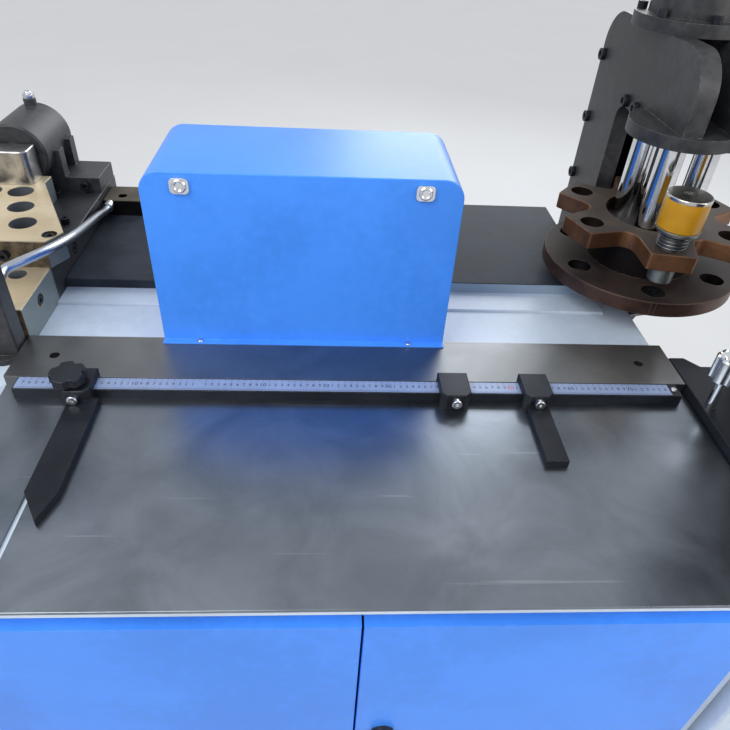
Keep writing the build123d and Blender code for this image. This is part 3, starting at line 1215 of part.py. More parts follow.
def make_oil_tank():
    """The oil tank with its lid and filler."""
    right = TANK_LEFT + TANK_WIDTH
    back = TANK_FRONT + TANK_DEPTH
    floor = BASE_TOP + WALL_T
    tank = block(TANK_LEFT, right, TANK_FRONT, back, floor, floor + TANK_HEIGHT)
    tank = fillet(upright_edges(tank), 12)
    lid_top = floor + TANK_HEIGHT + TANK_LID_T
    lid = block(TANK_LEFT - TANK_LID_OUT, right + TANK_LID_OUT, TANK_FRONT - TANK_LID_OUT, back + TANK_LID_OUT,
                floor + TANK_HEIGHT, lid_top)
    filler = rod(TANK_LEFT + FILLER_X, TANK_FRONT + FILLER_Y, lid_top, lid_top + FILLER_H, FILLER_R)
    return tank + lid + filler


def make_pump_motor():
    """The finned motor with its pump in front, on a foot."""
    floor = BASE_TOP + WALL_T
    z = floor + MOTOR_R + FIN_H + 24
    body = rod_y(MOTOR_X, z, MOTOR_FRONT, MOTOR_FRONT + MOTOR_LENGTH, MOTOR_R)
    for index in range(MOTOR_FINS):
        angle = 360 * index / MOTOR_FINS
        fin = Pos(MOTOR_X, MOTOR_FRONT + MOTOR_LENGTH * 0.45, z) * Rot(0, angle, 0) * Pos(MOTOR_R, 0, 0) * Box(
            2 * FIN_H, MOTOR_LENGTH * 0.6, FIN_T)
        body += fin
    body += rod_y(MOTOR_X, z, MOTOR_FRONT - PUMP_LENGTH, MOTOR_FRONT, MOTOR_R * 0.6)
    body += block(MOTOR_X - MOTOR_R, MOTOR_X + MOTOR_R, MOTOR_FRONT + MOTOR_FOOT_FRONT,
                  MOTOR_FRONT + MOTOR_LENGTH - MOTOR_FOOT_BACK, floor, z - MOTOR_R / 2)
    return body


def door_sides():
    """For each door: the hinge side's sign, the outer edge of its leaf and the inner edge."""
    half = DOOR_OPEN_WIDTH / 2 + DOOR_OVERLAP
    gap = DOOR_MEETING_GAP / 2
    return {"left": (-1, DOOR_MIDDLE_X - half, DOOR_MIDDLE_X - gap),
            "right": (1, DOOR_MIDDLE_X + half, DOOR_MIDDLE_X + gap)}


def hinge_heights():
    """The joints between the two knuckles of each hinge."""
    return (DOOR_OPEN_BOTTOM + HINGE_END_INSET, DOOR_OPEN_TOP - HINGE_END_INSET)


def hinge_place(side):
    """The hinge axis in plan."""
    sign, outer, inner = door_sides()[side]
    return outer + sign * HINGE_OFFSET, CABINET_FRONT - DOOR_GAP - DOOR_T / 2


def make_door(side):
    """A folded door pan with its upper hinge knuckles."""
    sign, outer, inner = door_sides()[side]
    low, high = min(outer, inner), max(outer, inner)
    bottom = DOOR_OPEN_BOTTOM - DOOR_OVERLAP
    top = DOOR_OPEN_TOP + DOOR_OVERLAP
    back = CABINET_FRONT - DOOR_GAP
    front = back - DOOR_T
    door = block(low, high, front, back, bottom, top)
    door = fillet(upright_edges(door).group_by(Axis.Y)[0], 2)
    door -= block(low + DOOR_SHEET_T, high - DOOR_SHEET_T, front + DOOR_SHEET_T, back + 1,
                  bottom + DOOR_SHEET_T, top - DOOR_SHEET_T)
    x, y = hinge_place(side)
    for z in hinge_heights():
        knuckle = rod(x, y, z + HINGE_AXIAL, z + HINGE_KNUCKLE_H, HINGE_KNUCKLE_R)
        reach = outer - sign * DOOR_SHEET_T / 2
        tab = block(min(x, reach), max(x, reach), y - HINGE_TAB_T / 2, y + HINGE_TAB_T / 2,
                    z + HINGE_AXIAL, z + HINGE_KNUCKLE_H)
        door += knuckle + tab
        door -= rod(x, y, z, z + HINGE_KNUCKLE_H + 1, HINGE_PIN_R + HINGE_RUNNING)
    if side == "right":
        door -= rod_y(latch_x(), LATCH_Z, front - 1, back + 1, LATCH_SHAFT_R + HINGE_RUNNING)
    return door


def latch_x():
    """The latch is on the right door, beside the meeting edge."""
    return DOOR_MIDDLE_X + LATCH_X_FROM_MIDDLE


def make_latch_handle():
    """A lever on the right door. Its cam stands upright, and catches the left door after a quarter turn."""
    front = CABINET_FRONT - DOOR_GAP - DOOR_T
    x = latch_x()
    face = front - SEAT_GAP
    hub = rod_y(x, LATCH_Z, face - LATCH_HUB_T, face, LATCH_HUB_R)
    lever = block(x - LATCH_LEVER_W / 2, x + LATCH_LEVER_W / 2, face - LATCH_HUB_T, face,
                  LATCH_Z - LATCH_LEVER, LATCH_Z)
    lever = fillet(lever.edges().filter_by(Axis.Y).group_by(Axis.Z)[0], LATCH_LEVER_W / 2.2)
    cam_front = CABINET_FRONT + LATCH_CAM_GAP
    shaft = rod_y(x, LATCH_Z, face, cam_front + LATCH_CAM_T, LATCH_SHAFT_R)
    cam = block(x - LATCH_LEVER_W / 2, x + LATCH_LEVER_W / 2, cam_front, cam_front + LATCH_CAM_T,
                LATCH_Z - LATCH_LEVER_W / 2, LATCH_Z + LATCH_X_FROM_MIDDLE + LATCH_CAM_CATCH)
    return hub + lever + shaft + cam


def make_door_hinges():
    """The cabinet's halves of the four hinges: lower knuckles, pins and straps."""
    halves = []
    for side in door_sides():
        sign = door_sides()[side][0]
        x, y = hinge_place(side)
        for z in hinge_heights():
            half = rod(x, y, z - HINGE_KNUCKLE_H, z, HINGE_KNUCKLE_R)
            half += rod(x, y, z, z + HINGE_KNUCKLE_H, HINGE_PIN_R)
            half += block(x - HINGE_TAB_T / 2, x + HINGE_TAB_T / 2, y, CABINET_FRONT, z - HINGE_KNUCKLE_H, z)
            strap = [x - HINGE_TAB_T / 2, x + sign * 14]
            half += block(min(strap), max(strap), CABINET_FRONT - HINGE_TAB_T, CABINET_FRONT,
                          z - HINGE_KNUCKLE_H, z)
            halves.append(half)
    return Compound(halves)


def pan_screw(plane):
    """A small domed screw head standing on a plane."""
    head = extrude(plane * Circle(PAN_HEAD_R), PAN_HEAD_T)
    far = head.edges().filter_by(GeomType.CIRCLE).sort_by_distance(plane.origin)[-1]
    return fillet(far, PAN_HEAD_T * 0.6)


def make_pan_screws():
    """The small bright screws of the hood flanges and the ruler."""
    heads = []
    top = TABLE_Z + HOOD_SHEET_T
    for y in (HOOD_FRONT - HOOD_FLANGE / 2, HOOD_BACK + HOOD_FLANGE / 2):
        for x in (HOOD_LEFT + HOOD_SCREW_INSET, HOOD_RIGHT - HOOD_SCREW_INSET):
            heads.append(pan_screw(Plane(origin=(x, y, top))))
    bar_right = RULER_RIGHT - 9
    heads.append(pan_screw(Plane(origin=(bar_right, RULER_FRONT + RULER_BAR_DEPTH / 2, TABLE_Z - STRIP_T))))
    return Compound(heads)


def cap_screw(plane):
    """A socket head screw standing on a plane."""
    head = extrude(plane * Circle(CAP_HEAD_R), CAP_HEAD_T)
    return head - extrude(plane.offset(CAP_HEAD_T - HEX_DEPTH) * RegularPolygon(HEX_R, 6), HEX_DEPTH + 1)


def make_cap_screws():
    """The black socket screws of the bender, and those of the shear's and the press's cylinders."""
    screws = []
    for side in (-1, 1):
        x = BEND_AXIS_X + side * CORNER_SCREW_X
        screws.append(cap_screw(Plane(origin=(x, CORNER_SCREW_Y, HOLE_PLATE_TOP - CORNER_SCREW_SINK))))
        for out, y in BED_TOP_SCREWS:
            screws.append(cap_screw(Plane(origin=(BEND_AXIS_X + side * out, y, BED_TOP))))
        for out in BEND_BASE_SCREWS:
            origin = (BEND_AXIS_X + side * out, BEND_BASE_FRONT, BED_TOP + BEND_BASE_T / 2)
            screws.append(cap_screw(Plane(origin=origin, z_dir=(0, -1, 0))))
    for y in BED_SIDE_SCREWS_Y:
        screws.append(cap_screw(bed_side_plane(y)))
    for x, y, top, radius in ((SHEAR_X, shear_middle_y(), SHEAR_TOP, SHEAR_CYL_R),
                              (*station_point(3), PRESS_UPPER_TOP, PRESS_CYL_R)):
        for index in range(CYL_FLANGE_BOLTS):
            degrees = (index + 0.5) * 360 / CYL_FLANGE_BOLTS
            bolt_x, bolt_y = ring_point(x, y, radius + CYL_FLANGE_EXTRA / 2, degrees)
            screws.append(cap_screw(Plane(origin=(bolt_x, bolt_y, top + CYL_FLANGE_T))))
    for x in (-PLATE_NOSE_HALF / 2, PLATE_NOSE_HALF / 2):
        origin = Vector(BEND_AXIS_X + x, HOLE_PLATE_FRONT, BED_TOP + HOLE_PLATE_T / 2)
        screws.append(cap_screw(Plane(origin=origin, z_dir=(0, -1, 0))))
    return Compound(screws)


def build():
    """Every sub-part by its node's name."""
    nodes = {
        "base_frame": make_base_frame(),
        "levelling_feet": make_levelling_feet(),
        "cabinet_shell": make_cabinet_shell(),
        "cabinet_deck": make_cabinet_deck(),
        "front_plate": make_front_plate(),
        "raised_plate": make_raised_plate(),
        "rear_plate": make_rear_plate(),
        "ruler_bar": make_ruler_bar(),
        "ruler_strip": make_ruler_strip(),
        "hood_cover": make_hood_cover(),
        "hood_latches": make_hood_latches(),
        "left_housing": make_left_housing(),
        "bed_block": make_bed_block(),
        "hole_plate": make_hole_plate(),
        "bend_cylinder": make_bend_cylinder(),
        "bend_ram": make_bend_ram(),
        "gland_block": make_gland_block(),
        "cable_conduit": make_cable_conduit(),
        "conduit_glands": make_conduit_glands(),
        "control_post": make_control_post(),
        "control_box": make_control_box(),
        "emergency_button": make_button(EMERGENCY_PLACE, STOP_BUTTON_R, STOP_BUTTON_T),
        "start_button": make_button(START_PLACE, START_BUTTON_R, START_BUTTON_T),
        "right_housing": make_right_housing(),
        "shear_bed": make_shear_bed(),
        "shear_frame": make_shear_frame(),
        "lower_blade": make_lower_blade(),
        "upper_blade": make_upper_blade(),
        "blade_slide": make_blade_slide(),
        "shear_cylinder": make_shear_cylinder(),
        "hold_down_screw": make_hold_down_screw(),
        "upper_disc": make_upper_disc(),
        "lower_disc": make_lower_disc(),
        "die_button": make_die_button(),
        "punch_sleeve": make_punch_sleeve(),
        "punch_flange": make_punch_flange(),
        "coil_spring": make_coil_spring(),
        "punch_ring": make_punch_ring(),
        "punch_cap": make_punch_cap(),
        "punch_pin": make_punch_pin(),
        "turret_hub": make_turret_hub(),
        "hub_pillars": make_hub_pillars(),
        "press_frame": make_press_frame(),
        "press_cylinder": make_press_cylinder(),
        "press_ram": make_press_ram(),
        "index_plunger": make_index_plunger(),
        "oil_tank": make_oil_tank(),
        "pump_motor": make_pump_motor(),
        "door_left": make_door("left"),
        "door_right": make_door("right"),
        "latch_handle": make_latch_handle(),
        "door_hinges": make_door_hinges(),
        "pan_screws": make_pan_screws(),
        "cap_screws": make_cap_screws(),
    }
    for name, stop in STOPS.items():
        nodes["stop_" + name] = make_stop(stop)
        nodes["stop_screw_" + name] = make_stop_screw(stop)
    return nodes


for node_name, shape in build().items():
    export_step(shape, "parts/" + node_name + ".step")
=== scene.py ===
# %% [markdown]
# A busbar processing machine, dressed for the camera. The imported model gives every rigid piece its true
# size and place, so this script never moves one. It gives them their finishes and adds the small things
# that a workshop would fit last: the rule's marks, springs, fittings, bezels, louvres and screws.
# The first cell loads the frame.

# %% Load the frame
import bmesh
import bpy
import json
import math
from mathutils import Matrix, Vector


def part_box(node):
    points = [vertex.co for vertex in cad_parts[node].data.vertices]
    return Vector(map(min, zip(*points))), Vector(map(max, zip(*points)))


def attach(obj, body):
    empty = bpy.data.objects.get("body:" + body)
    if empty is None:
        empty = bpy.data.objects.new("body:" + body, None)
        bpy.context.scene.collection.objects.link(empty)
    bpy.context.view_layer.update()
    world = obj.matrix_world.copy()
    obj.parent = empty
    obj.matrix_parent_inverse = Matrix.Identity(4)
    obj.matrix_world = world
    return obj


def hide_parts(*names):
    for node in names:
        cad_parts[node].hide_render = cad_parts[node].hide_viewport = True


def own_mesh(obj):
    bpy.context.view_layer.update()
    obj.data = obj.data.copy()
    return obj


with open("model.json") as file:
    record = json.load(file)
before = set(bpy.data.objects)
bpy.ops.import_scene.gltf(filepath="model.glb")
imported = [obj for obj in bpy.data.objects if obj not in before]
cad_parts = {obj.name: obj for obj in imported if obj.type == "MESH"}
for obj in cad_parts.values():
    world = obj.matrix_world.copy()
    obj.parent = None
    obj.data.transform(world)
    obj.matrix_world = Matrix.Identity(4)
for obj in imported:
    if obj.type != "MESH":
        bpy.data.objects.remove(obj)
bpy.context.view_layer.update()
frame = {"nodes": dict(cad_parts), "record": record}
NODES = frame["nodes"]
MM = 0.001

# %% [markdown]
# Camera first. The photograph was taken standing at the table, a little above the hood, looking down at
# about 38 degrees. Its three axes come from the vanishing points of the table's edges, and the lens
# from the spacing of the ruler's marks. The directions below are the camera's own right and up axes, and
# the third follows from them. They make the camera's matrix directly, which is exact where angles would
# be rounded.

# %% Camera
CAMERA_PLACE = Vector((-0.020, -0.945, 1.510))
CAMERA_RIGHT = Vector((0.99795, -0.04052, 0.04962))
CAMERA_UP = Vector((-0.01370, 0.62160, 0.78322))
CAMERA_LENS = 31.41
CAMERA_SENSOR = 36.0
CAMERA_NEAREST = 0.05


def place_camera():
    """A camera whose matrix is made of its own axes."""
    camera = bpy.data.cameras.new("camera")
    camera.lens = CAMERA_LENS
    camera.sensor_width = CAMERA_SENSOR
    camera.clip_start = CAMERA_NEAREST
    holder = bpy.data.objects.new("camera", camera)
    bpy.context.scene.collection.objects.link(holder)
    right = CAMERA_RIGHT.normalized()
    back = right.cross(CAMERA_UP).normalized()
    axes = Matrix((right, back.cross(right), back)).transposed().to_4x4()
    holder.matrix_world = Matrix.Translation(CAMERA_PLACE) @ axes
    bpy.context.scene.camera = holder
    return holder


camera = place_camera()
print("camera looks along", [round(v, 3) for v in -camera.matrix_world.col[2].xyz])

# %% [markdown]
# The silver cable guard leaves the gland block and arches forward to the control post. A flexible metal
# guard is a smooth line, so it is a NURBS curve with a round bevel, whose control points are the route's
# own points. Each point's radius is the guard's own, and the bevel only multiplies it by one.
# The order and the end option are set after the points, because setting them first leaves straight runs.

# %% Cable guard
GUARD_ROUTE = [
    (-0.508, 0.405, 0.876),
    (-0.508, 0.387, 0.876),
    (-0.503, 0.325, 0.896),
    (-0.497, 0.250, 0.914),
    (-0.490, 0.178, 0.933),
    (-0.488, 0.122, 0.947),
    (-0.498, 0.070, 0.955),
    (-0.518, 0.026, 0.960),
    (-0.537, -0.002, 0.960),
    (-0.544, -0.015, 0.960),
    (-0.544, -0.029, 0.960),
]
GUARD_DIAMETER = 0.017


def cable_guard():
    """The guard as one open NURBS curve between its two ferrules."""
    curve = bpy.data.curves.new("cable_guard", "CURVE")
    curve.dimensions = "3D"
    curve.resolution_u = 8
    curve.bevel_depth = 1.0
    curve.bevel_resolution = 6
    curve.use_fill_caps = True
    spline = curve.splines.new("NURBS")
    spline.points.add(len(GUARD_ROUTE) - 1)
    for point, place in zip(spline.points, GUARD_ROUTE):
        point.co = (*place, 1.0)
        point.radius = GUARD_DIAMETER / 2
    spline.order_u = 3
    spline.use_endpoint_u = True
    guard = bpy.data.objects.new("cable_guard", curve)
    bpy.context.scene.collection.objects.link(guard)
    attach(guard, "machine")
    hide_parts("cable_conduit")
    return guard


guard = cable_guard()
print("guard points", len(GUARD_ROUTE))

# %% [markdown]
# A material's maths reads best as an expression, so one small class wraps a socket and turns + - * **
# into Math nodes. Every other node comes from one method of the finish, which takes the node's settings
# first and then its inputs. Patterns read Object coordinates, so they stay on the piece when it moves.

# %% Shader helpers
MIX_SHARE, MIX_LOW, MIX_HIGH, MIX_RESULT = 0, 6, 7, 2     # a Mix node's colour sockets share their names
EDGE_LEAN = (0.02, 0.25)
BEVEL_SAMPLES = 4


class Wire:
    """One output socket, or a way to write maths on it."""

    def __init__(self, finish, socket):
        self.finish = finish
        self.socket = socket

    def math(self, operation, *others):
        return self.finish.add("ShaderNodeMath", {"operation": operation}, (self,) + others)

    def __add__(self, other):
        return self.math("ADD", other)

    def __sub__(self, other):
        return self.math("SUBTRACT", other)

    def __rsub__(self, other):
        return self.finish.add("ShaderNodeMath", {"operation": "SUBTRACT"}, (other, self))

    def __mul__(self, other):
        return self.math("MULTIPLY", other)

    def __pow__(self, other):
        return self.math("POWER", other)

    def __neg__(self):
        return self.math("MULTIPLY", -1.0)

    __radd__ = __add__
    __rmul__ = __mul__

    def clamp(self):
        return self.finish.add("ShaderNodeClamp", {}, {"Value": self})

    def between(self, low, high):
        """0 at low, 1 at high, smooth on the way and held outside them."""
        return self.finish.add("ShaderNodeMapRange", {"interpolation_type": "SMOOTHSTEP"},
                               {"Value": self, "From Min": low, "From Max": high})

    def part(self, name):
        """X, Y or Z of a vector."""
        return self.finish.add("ShaderNodeSeparateXYZ", {}, {"Vector": self}, out=name)


class Finish:
    """A material with one Principled shader and a method that adds any node."""

    def __init__(self, name, **constants):
        self.material = bpy.data.materials.new(name)
        self.material.use_nodes = True
        self.tree = self.material.node_tree
        self.shader = self.tree.nodes["Principled BSDF"]
        for socket, value in constants.items():
            self.set(socket.replace("_", " "), value)

    def add(self, kind, settings, inputs, out=0):
        """Any node: its kind, its settings, then the values or wires of its sockets."""
        node = self.tree.nodes.new(kind)
        for key, value in settings.items():
            setattr(node, key, value)
        pairs = inputs.items() if isinstance(inputs, dict) else enumerate(inputs)
        for key, value in pairs:
            self.feed(node.inputs[key], value)
        return Wire(self, node.outputs[out])

    def feed(self, socket, value):
        """Links a wire to a socket, or sets the socket's own value."""
        if isinstance(value, Wire):
            self.tree.links.new(value.socket, socket)
        elif isinstance(value, tuple) and len(value) == 3 and socket.type == "RGBA":
            socket.default_value = (*value, 1.0)
        else:
            socket.default_value = value

    def set(self, socket, value):
        """Feeds one of the Principled shader's own sockets."""
        self.feed(self.shader.inputs[socket], value)

    def coords(self, scale=(1, 1, 1), turn=(0, 0, 0), centre=(0, 0, 0)):
        """The piece's own place in metres, centred, turned and stretched."""
        place = self.add("ShaderNodeTexCoord", {}, {}, out="Object")
        place = self.add("ShaderNodeMapping", {"vector_type": "POINT"},
                         {"Vector": place, "Location": tuple(-c for c in centre)})
        return self.add("ShaderNodeMapping", {"vector_type": "POINT"},
                        {"Vector": place, "Rotation": turn, "Scale": scale})

    def noise(self, scale, detail, rough, twist=0.0, stretch=(1, 1, 1), turn=(0, 0, 0)):
        """Grey noise from 0 to 1, with scale in spots per metre."""
        return self.add("ShaderNodeTexNoise", {}, {
            "Vector": self.coords(stretch, turn), "Scale": scale, "Detail": detail, "Roughness": rough,
            "Distortion": twist})

    def mix(self, share, low, high):
        """Blends two colours."""
        return self.add("ShaderNodeMix", {"data_type": "RGBA"},
                        {MIX_SHARE: share, MIX_LOW: low, MIX_HIGH: high}, out=MIX_RESULT)

    def distance(self, centre):
        """Metres from an upright axis."""
        place = self.coords(centre=(*centre, 0.0))
        return (place.part("X") ** 2 + place.part("Y") ** 2) ** 0.5

    def bump(self, height, strength, depth, under):
        """A normal from heights of 0 to 1, where 1 stands depth metres high, on another normal."""
        return self.add("ShaderNodeBump", {},
                        {"Height": height, "Strength": strength, "Distance": depth, "Normal": under})

    def soft_edges(self, radius):
        """A normal that rounds sharp edges in the light, by radius metres."""
        return self.add("ShaderNodeBevel", {"samples": BEVEL_SAMPLES}, {"Radius": radius})

    def edge_mask(self, radius):
        """1 on edges and 0 on faces, from how far a rounded normal leans off the true one."""
        normal = self.add("ShaderNodeNewGeometry", {}, {}, out="Normal")
        lean = self.add("ShaderNodeVectorMath", {"operation": "DOT_PRODUCT"},
                        (self.soft_edges(radius), normal), out="Value")
        return (1 - lean).between(*EDGE_LEAN)

    def facing(self, axis):
        """How far a face looks along X, Y or Z, from -1 to 1."""
        return self.add("ShaderNodeNewGeometry", {}, {}, out="Normal").part(axis)


def shade(color, share):
    """The same colour, darker or lighter."""
    return tuple(c * share for c in color)


print("helpers ready")

# %% [markdown]
# Paint on sheet metal is never one flat colour. It has a faint orange peel from the spray gun, a little
# dust that dulls it, and thin bright wear on the edges where hands and work rub. The same recipe serves
# the off-white cabinet, the blue hood, the black castings and the grey motor, so it is one function.

# %% Paint finishes
CLOUDED = 0.86
DUST_GREY = 0.6
PAINT_EDGE = 0.0012


def paint(name, color, gloss, wear_color, wear=0.5, dust=0.06):
    """Sprayed enamel with orange peel, dust and worn edges."""
    f = Finish(name, Metallic=0.0, Specular_IOR_Level=0.5)
    cloud = f.noise(4.0, 4.0, 0.55, 0.3)
    fine = f.noise(60.0, 3.0, 0.6)
    peel = f.noise(900.0, 1.0, 0.4)
    dusty = tuple(c + (DUST_GREY - c) * dust for c in color)
    base = f.mix(cloud.between(0.35, 0.7), shade(color, CLOUDED), color)
    base = f.mix((cloud * fine * 2).between(0.3, 0.8), base, dusty)
    rub = f.edge_mask(PAINT_EDGE) * f.noise(140.0, 4.0, 0.7).between(0.42, 0.62) * wear
    f.set("Base Color", f.mix(rub, base, wear_color))
    f.set("Roughness", (fine * 0.12 + gloss + cloud * 0.06).clamp())
    f.set("Metallic", rub * 0.8)
    f.set("Normal", f.bump(peel, 0.10, 0.0002, f.soft_edges(PAINT_EDGE)))
    return f.material


STEEL = (0.46, 0.46, 0.47)
PALE_BLUE = (0.35, 0.45, 0.7)
FINISHES = {
    "cabinet_paint": paint("cabinet_paint", (0.62, 0.72, 0.84), 0.30, STEEL, wear=0.35),
    "blue_paint": paint("blue_paint", (0.056, 0.290, 1.0), 0.28, PALE_BLUE, wear=0.3, dust=0.015),
    "black_paint": paint("black_paint", (0.018, 0.019, 0.022), 0.38, STEEL, wear=0.6, dust=0.04),
    "frame_paint": paint("frame_paint", (0.10, 0.11, 0.125), 0.42, STEEL),
    "grey_paint": paint("grey_paint", (0.22, 0.25, 0.28), 0.42, STEEL, wear=0.4),
    "tank_paint": paint("tank_paint", (0.42, 0.45, 0.48), 0.38, STEEL, wear=0.4),
}
print("paints", sorted(FINISHES))

# %% [markdown]
# The thin front sheet is polished steel that has been worked on: it mirrors softly, and has faint grey
# clouds, tiny specks and a few short scratches. Metal takes its colour from Base Color and its
# character from roughness, so the clouds go mostly into roughness.

# %% Polished sheet
def polished_sheet():
    """Bright cold-rolled sheet with clouds, specks and scratches."""
    f = Finish("polished_sheet", Metallic=1.0)
    cloud = f.noise(7.0, 5.0, 0.6, 0.6)
    speck = f.noise(420.0, 3.0, 0.65)
    streak = f.noise(30.0, 3.0, 0.6, 0.0, (0.25, 1.0, 1.0))
    scratch = f.noise(55.0, 2.0, 0.5, 0.1, (0.05, 1.0, 1.0), (0, 0, 0.5)).between(0.68, 0.72)
    base = f.mix(cloud.between(0.3, 0.75), (0.175, 0.198, 0.228), (0.26, 0.287, 0.325))
    base = f.mix(speck.between(0.60, 0.72) * 0.35, base, (0.20, 0.20, 0.21))
    f.set("Base Color", f.mix(scratch * 0.3, base, (0.50, 0.52, 0.55)))
    f.set("Roughness", (cloud * 0.14 + streak * 0.06 + speck * 0.10 + 0.16).clamp())
    f.set("Normal", f.bump(speck + scratch * 0.5, 0.06, 0.0002, f.soft_edges(0.0006)))
    return f.material


FINISHES["polished_sheet"] = polished_sheet()
print("finishes", len(FINISHES))

# %% [markdown]
# The thick plates are surface ground: fine parallel lines run along the table, and oil has tinted them.
# The lines are noise that is stretched about eighty times along X, used for colour, roughness and bump.

# %% Ground steel
def ground_steel(name, low, high):
    """Surface-ground plate with lines along one axis and a tinted oil film."""
    f = Finish(name, Metallic=1.0)
    cloud = f.noise(5.0, 4.0, 0.6, 0.5)
    line = f.noise(900.0, 2.0, 0.7, 0.0, (0.012, 1.0, 1.0))
    spot = f.noise(160.0, 4.0, 0.7)
    base = f.mix(cloud.between(0.3, 0.7), low, high)
    base = f.mix(spot.between(0.62, 0.75) * 0.4, base, shade(low, 0.5))
    f.set("Base Color", f.mix(line * 0.25, base, shade(low, 0.7)))
    f.set("Roughness", (line * 0.16 + cloud * 0.10 + 0.26).clamp())
    f.set("Normal", f.bump(line, 0.12, 0.0002, f.soft_edges(0.0008)))
    return f.material


FINISHES["ground_steel"] = ground_steel("ground_steel", (0.165, 0.17, 0.175), (0.25, 0.26, 0.265))
print("finishes", len(FINISHES))

# %% [markdown]
# The bender's blocks are milled on top, where the yellow plating is clean and tan, and left rough on their
# sides, where it is mottled dark brown. The sides that face +X are painted a lighter teal grey, painted
# light for the light that falls on that side. One material shows all of this, because it asks which way a
# face looks: the share of clean plating is the face's upward lean. The walls of the holes are found by
# their distance from the nearest hole's axis.

# %% Yellow zinc
def smallest(wires):
    """The smallest of several values."""
    least = wires[0]
    for wire in wires[1:]:
        least = least.math("MINIMUM", wire)
    return least


def yellow_zinc(name, holes, black_from=None):
    """Tan plating on milled tops, mottled brown on the rough sides, painted light in teal grey on the sides
    that face +X, and bare steel in the holes. Behind black_from it is oiled black."""
    f = Finish(name)
    cloud = f.noise(9.0, 5.0, 0.6, 0.8)
    mottle = f.noise(60.0, 5.0, 0.65, 0.4)
    line = f.noise(700.0, 2.0, 0.6, 0.0, (0.02, 1.0, 1.0))
    top = f.mix(cloud.between(0.3, 0.7), (0.70, 0.56, 0.355), (0.84, 0.71, 0.50))
    side = f.mix(mottle.between(0.35, 0.65), (0.045, 0.036, 0.026), (0.15, 0.115, 0.07))
    # Painted light: faces that look towards +X get a lighter teal grey, for the light that side catches.
    right = f.mix(cloud, (0.12, 0.15, 0.15), (0.22, 0.26, 0.26))
    up = f.facing("Z").between(0.55, 0.9)
    side = f.mix(f.facing("X").between(0.75, 0.95), side, right)
    rub = f.edge_mask(0.0012) * mottle.between(0.4, 0.6)
    base = f.mix(rub * 0.6, f.mix(up, side, top), (0.58, 0.50, 0.36))
    nearest = smallest([f.distance((x, y)) - radius for x, y, radius in holes])
    wall = 1 - nearest.between(0.0004, 0.0008)
    base = f.mix(wall * (1 - up), base, f.mix(cloud, (0.10, 0.11, 0.12), (0.24, 0.26, 0.28)))
    if black_from is not None:
        behind = f.coords().part("Y").between(black_from, black_from + 0.002)
        oiled = f.mix(cloud.between(0.3, 0.7), (0.020, 0.022, 0.027), (0.034, 0.036, 0.042))
        base = f.mix(behind, base, oiled)
        up = up * (1 - behind)
    f.set("Base Color", base)
    f.set("Metallic", (up * 0.25 + rub * 0.3 + 0.25).clamp())
    f.set("Roughness", (mottle * 0.14 + line * 0.08 + 0.34 - up * 0.06).clamp())
    f.set("Normal", f.bump(line * 0.4 + mottle * 0.6, 0.12, 0.0004, f.soft_edges(0.001)))
    return f.material


BENDER_X = -0.670
PIN_PLACES = ((0.086, 0.170), (0.057, 0.239), (0.031, 0.309))
PIN_HOLES = [(BENDER_X + side * across, y, 0.0245) for side in (-1, 1) for across, y in PIN_PLACES]
BED_HOLES = [(BENDER_X + side * 0.099, 0.072, 0.0155) for side in (-1, 1)]
FINISHES["yellow_zinc"] = yellow_zinc("yellow_zinc", PIN_HOLES)
OWN_FINISH = {"bed_block": yellow_zinc("bed_zinc", BED_HOLES, black_from=0.098)}
print("finishes", len(FINISHES))

# %% [markdown]
# The turret discs were cut from plate and browned in oil. Their tops are nearly black-brown, and the faces
# that were machined, on the outer flats and the scallops, shine like old bronze. Their rubbed edges are a
# lighter bronze, partly wear and partly a painted highlight on the chamfers. The station bores and the tube
# between the discs get painted shade, a darker colour and less metal, for the shade inside them. A cosine
# of six times the angle round the turret's axis finds the bores. The lower disc and the hub take darker
# copies of the finish, painted shade for the shade they sit in.

# %% Brown oxide
TURRET_AXIS = (0.612, 0.187, 0.0)
STATION_ANGLE = math.radians(-100.0)
STATIONS = 6
BORE_REACH = (0.170, 0.173)
TUBE_REACH = (0.1035, 0.1040)


def brown_oxide(name, top, side, paint_bore_shade=True):
    """Oil-browned steel, with a pair of colours for tops and a pair for machined sides. Unless told not to,
    it paints shade into the station bores and the tube between the discs.
    """
    f = Finish(name, Specular_IOR_Level=0.25)
    cloud = f.noise(14.0, 5.0, 0.62, 0.7)
    rough_skin = f.noise(220.0, 4.0, 0.7)
    up = f.facing("Z").between(0.5, 0.9)
    side_color = f.mix(cloud.between(0.3, 0.7), *side)
    metal = 0.85 - up * 0.75
    # Painted shade: the station bores and the tube between the discs are darkened and made less metallic,
    # for the shade inside them.
    if paint_bore_shade:
        place = f.coords(centre=TURRET_AXIS)
        reach = f.distance(TURRET_AXIS[:2])
        turn = f.add("ShaderNodeMath", {"operation": "ARCTAN2"}, (place.part("Y"), place.part("X")))
        station = ((turn - STATION_ANGLE) * STATIONS).math("COSINE").between(0.3, 0.6)
        bore = station * (1 - reach.between(*BORE_REACH))
        dark = bore.math("MAXIMUM", 1 - reach.between(*TUBE_REACH))
        side_color = f.mix(dark, side_color, shade(top[0], 0.5))
        metal = metal - dark * 0.5
    # The rubbed edges' lighter bronze is partly wear and partly a painted highlight on the chamfers.
    rub = f.edge_mask(0.0014) * rough_skin.between(0.35, 0.6)
    base = f.mix(up, side_color, f.mix(cloud.between(0.3, 0.7), *top))
    f.set("Base Color", f.mix(rub * 0.7, base, (0.34, 0.25, 0.18)))
    f.set("Metallic", metal.clamp())
    f.set("Roughness", (cloud * 0.16 + rough_skin * 0.10 + 0.28 + up * 0.20).clamp())
    f.set("Normal", f.bump(rough_skin, 0.16, 0.0004, f.soft_edges(0.001)))
    return f.material


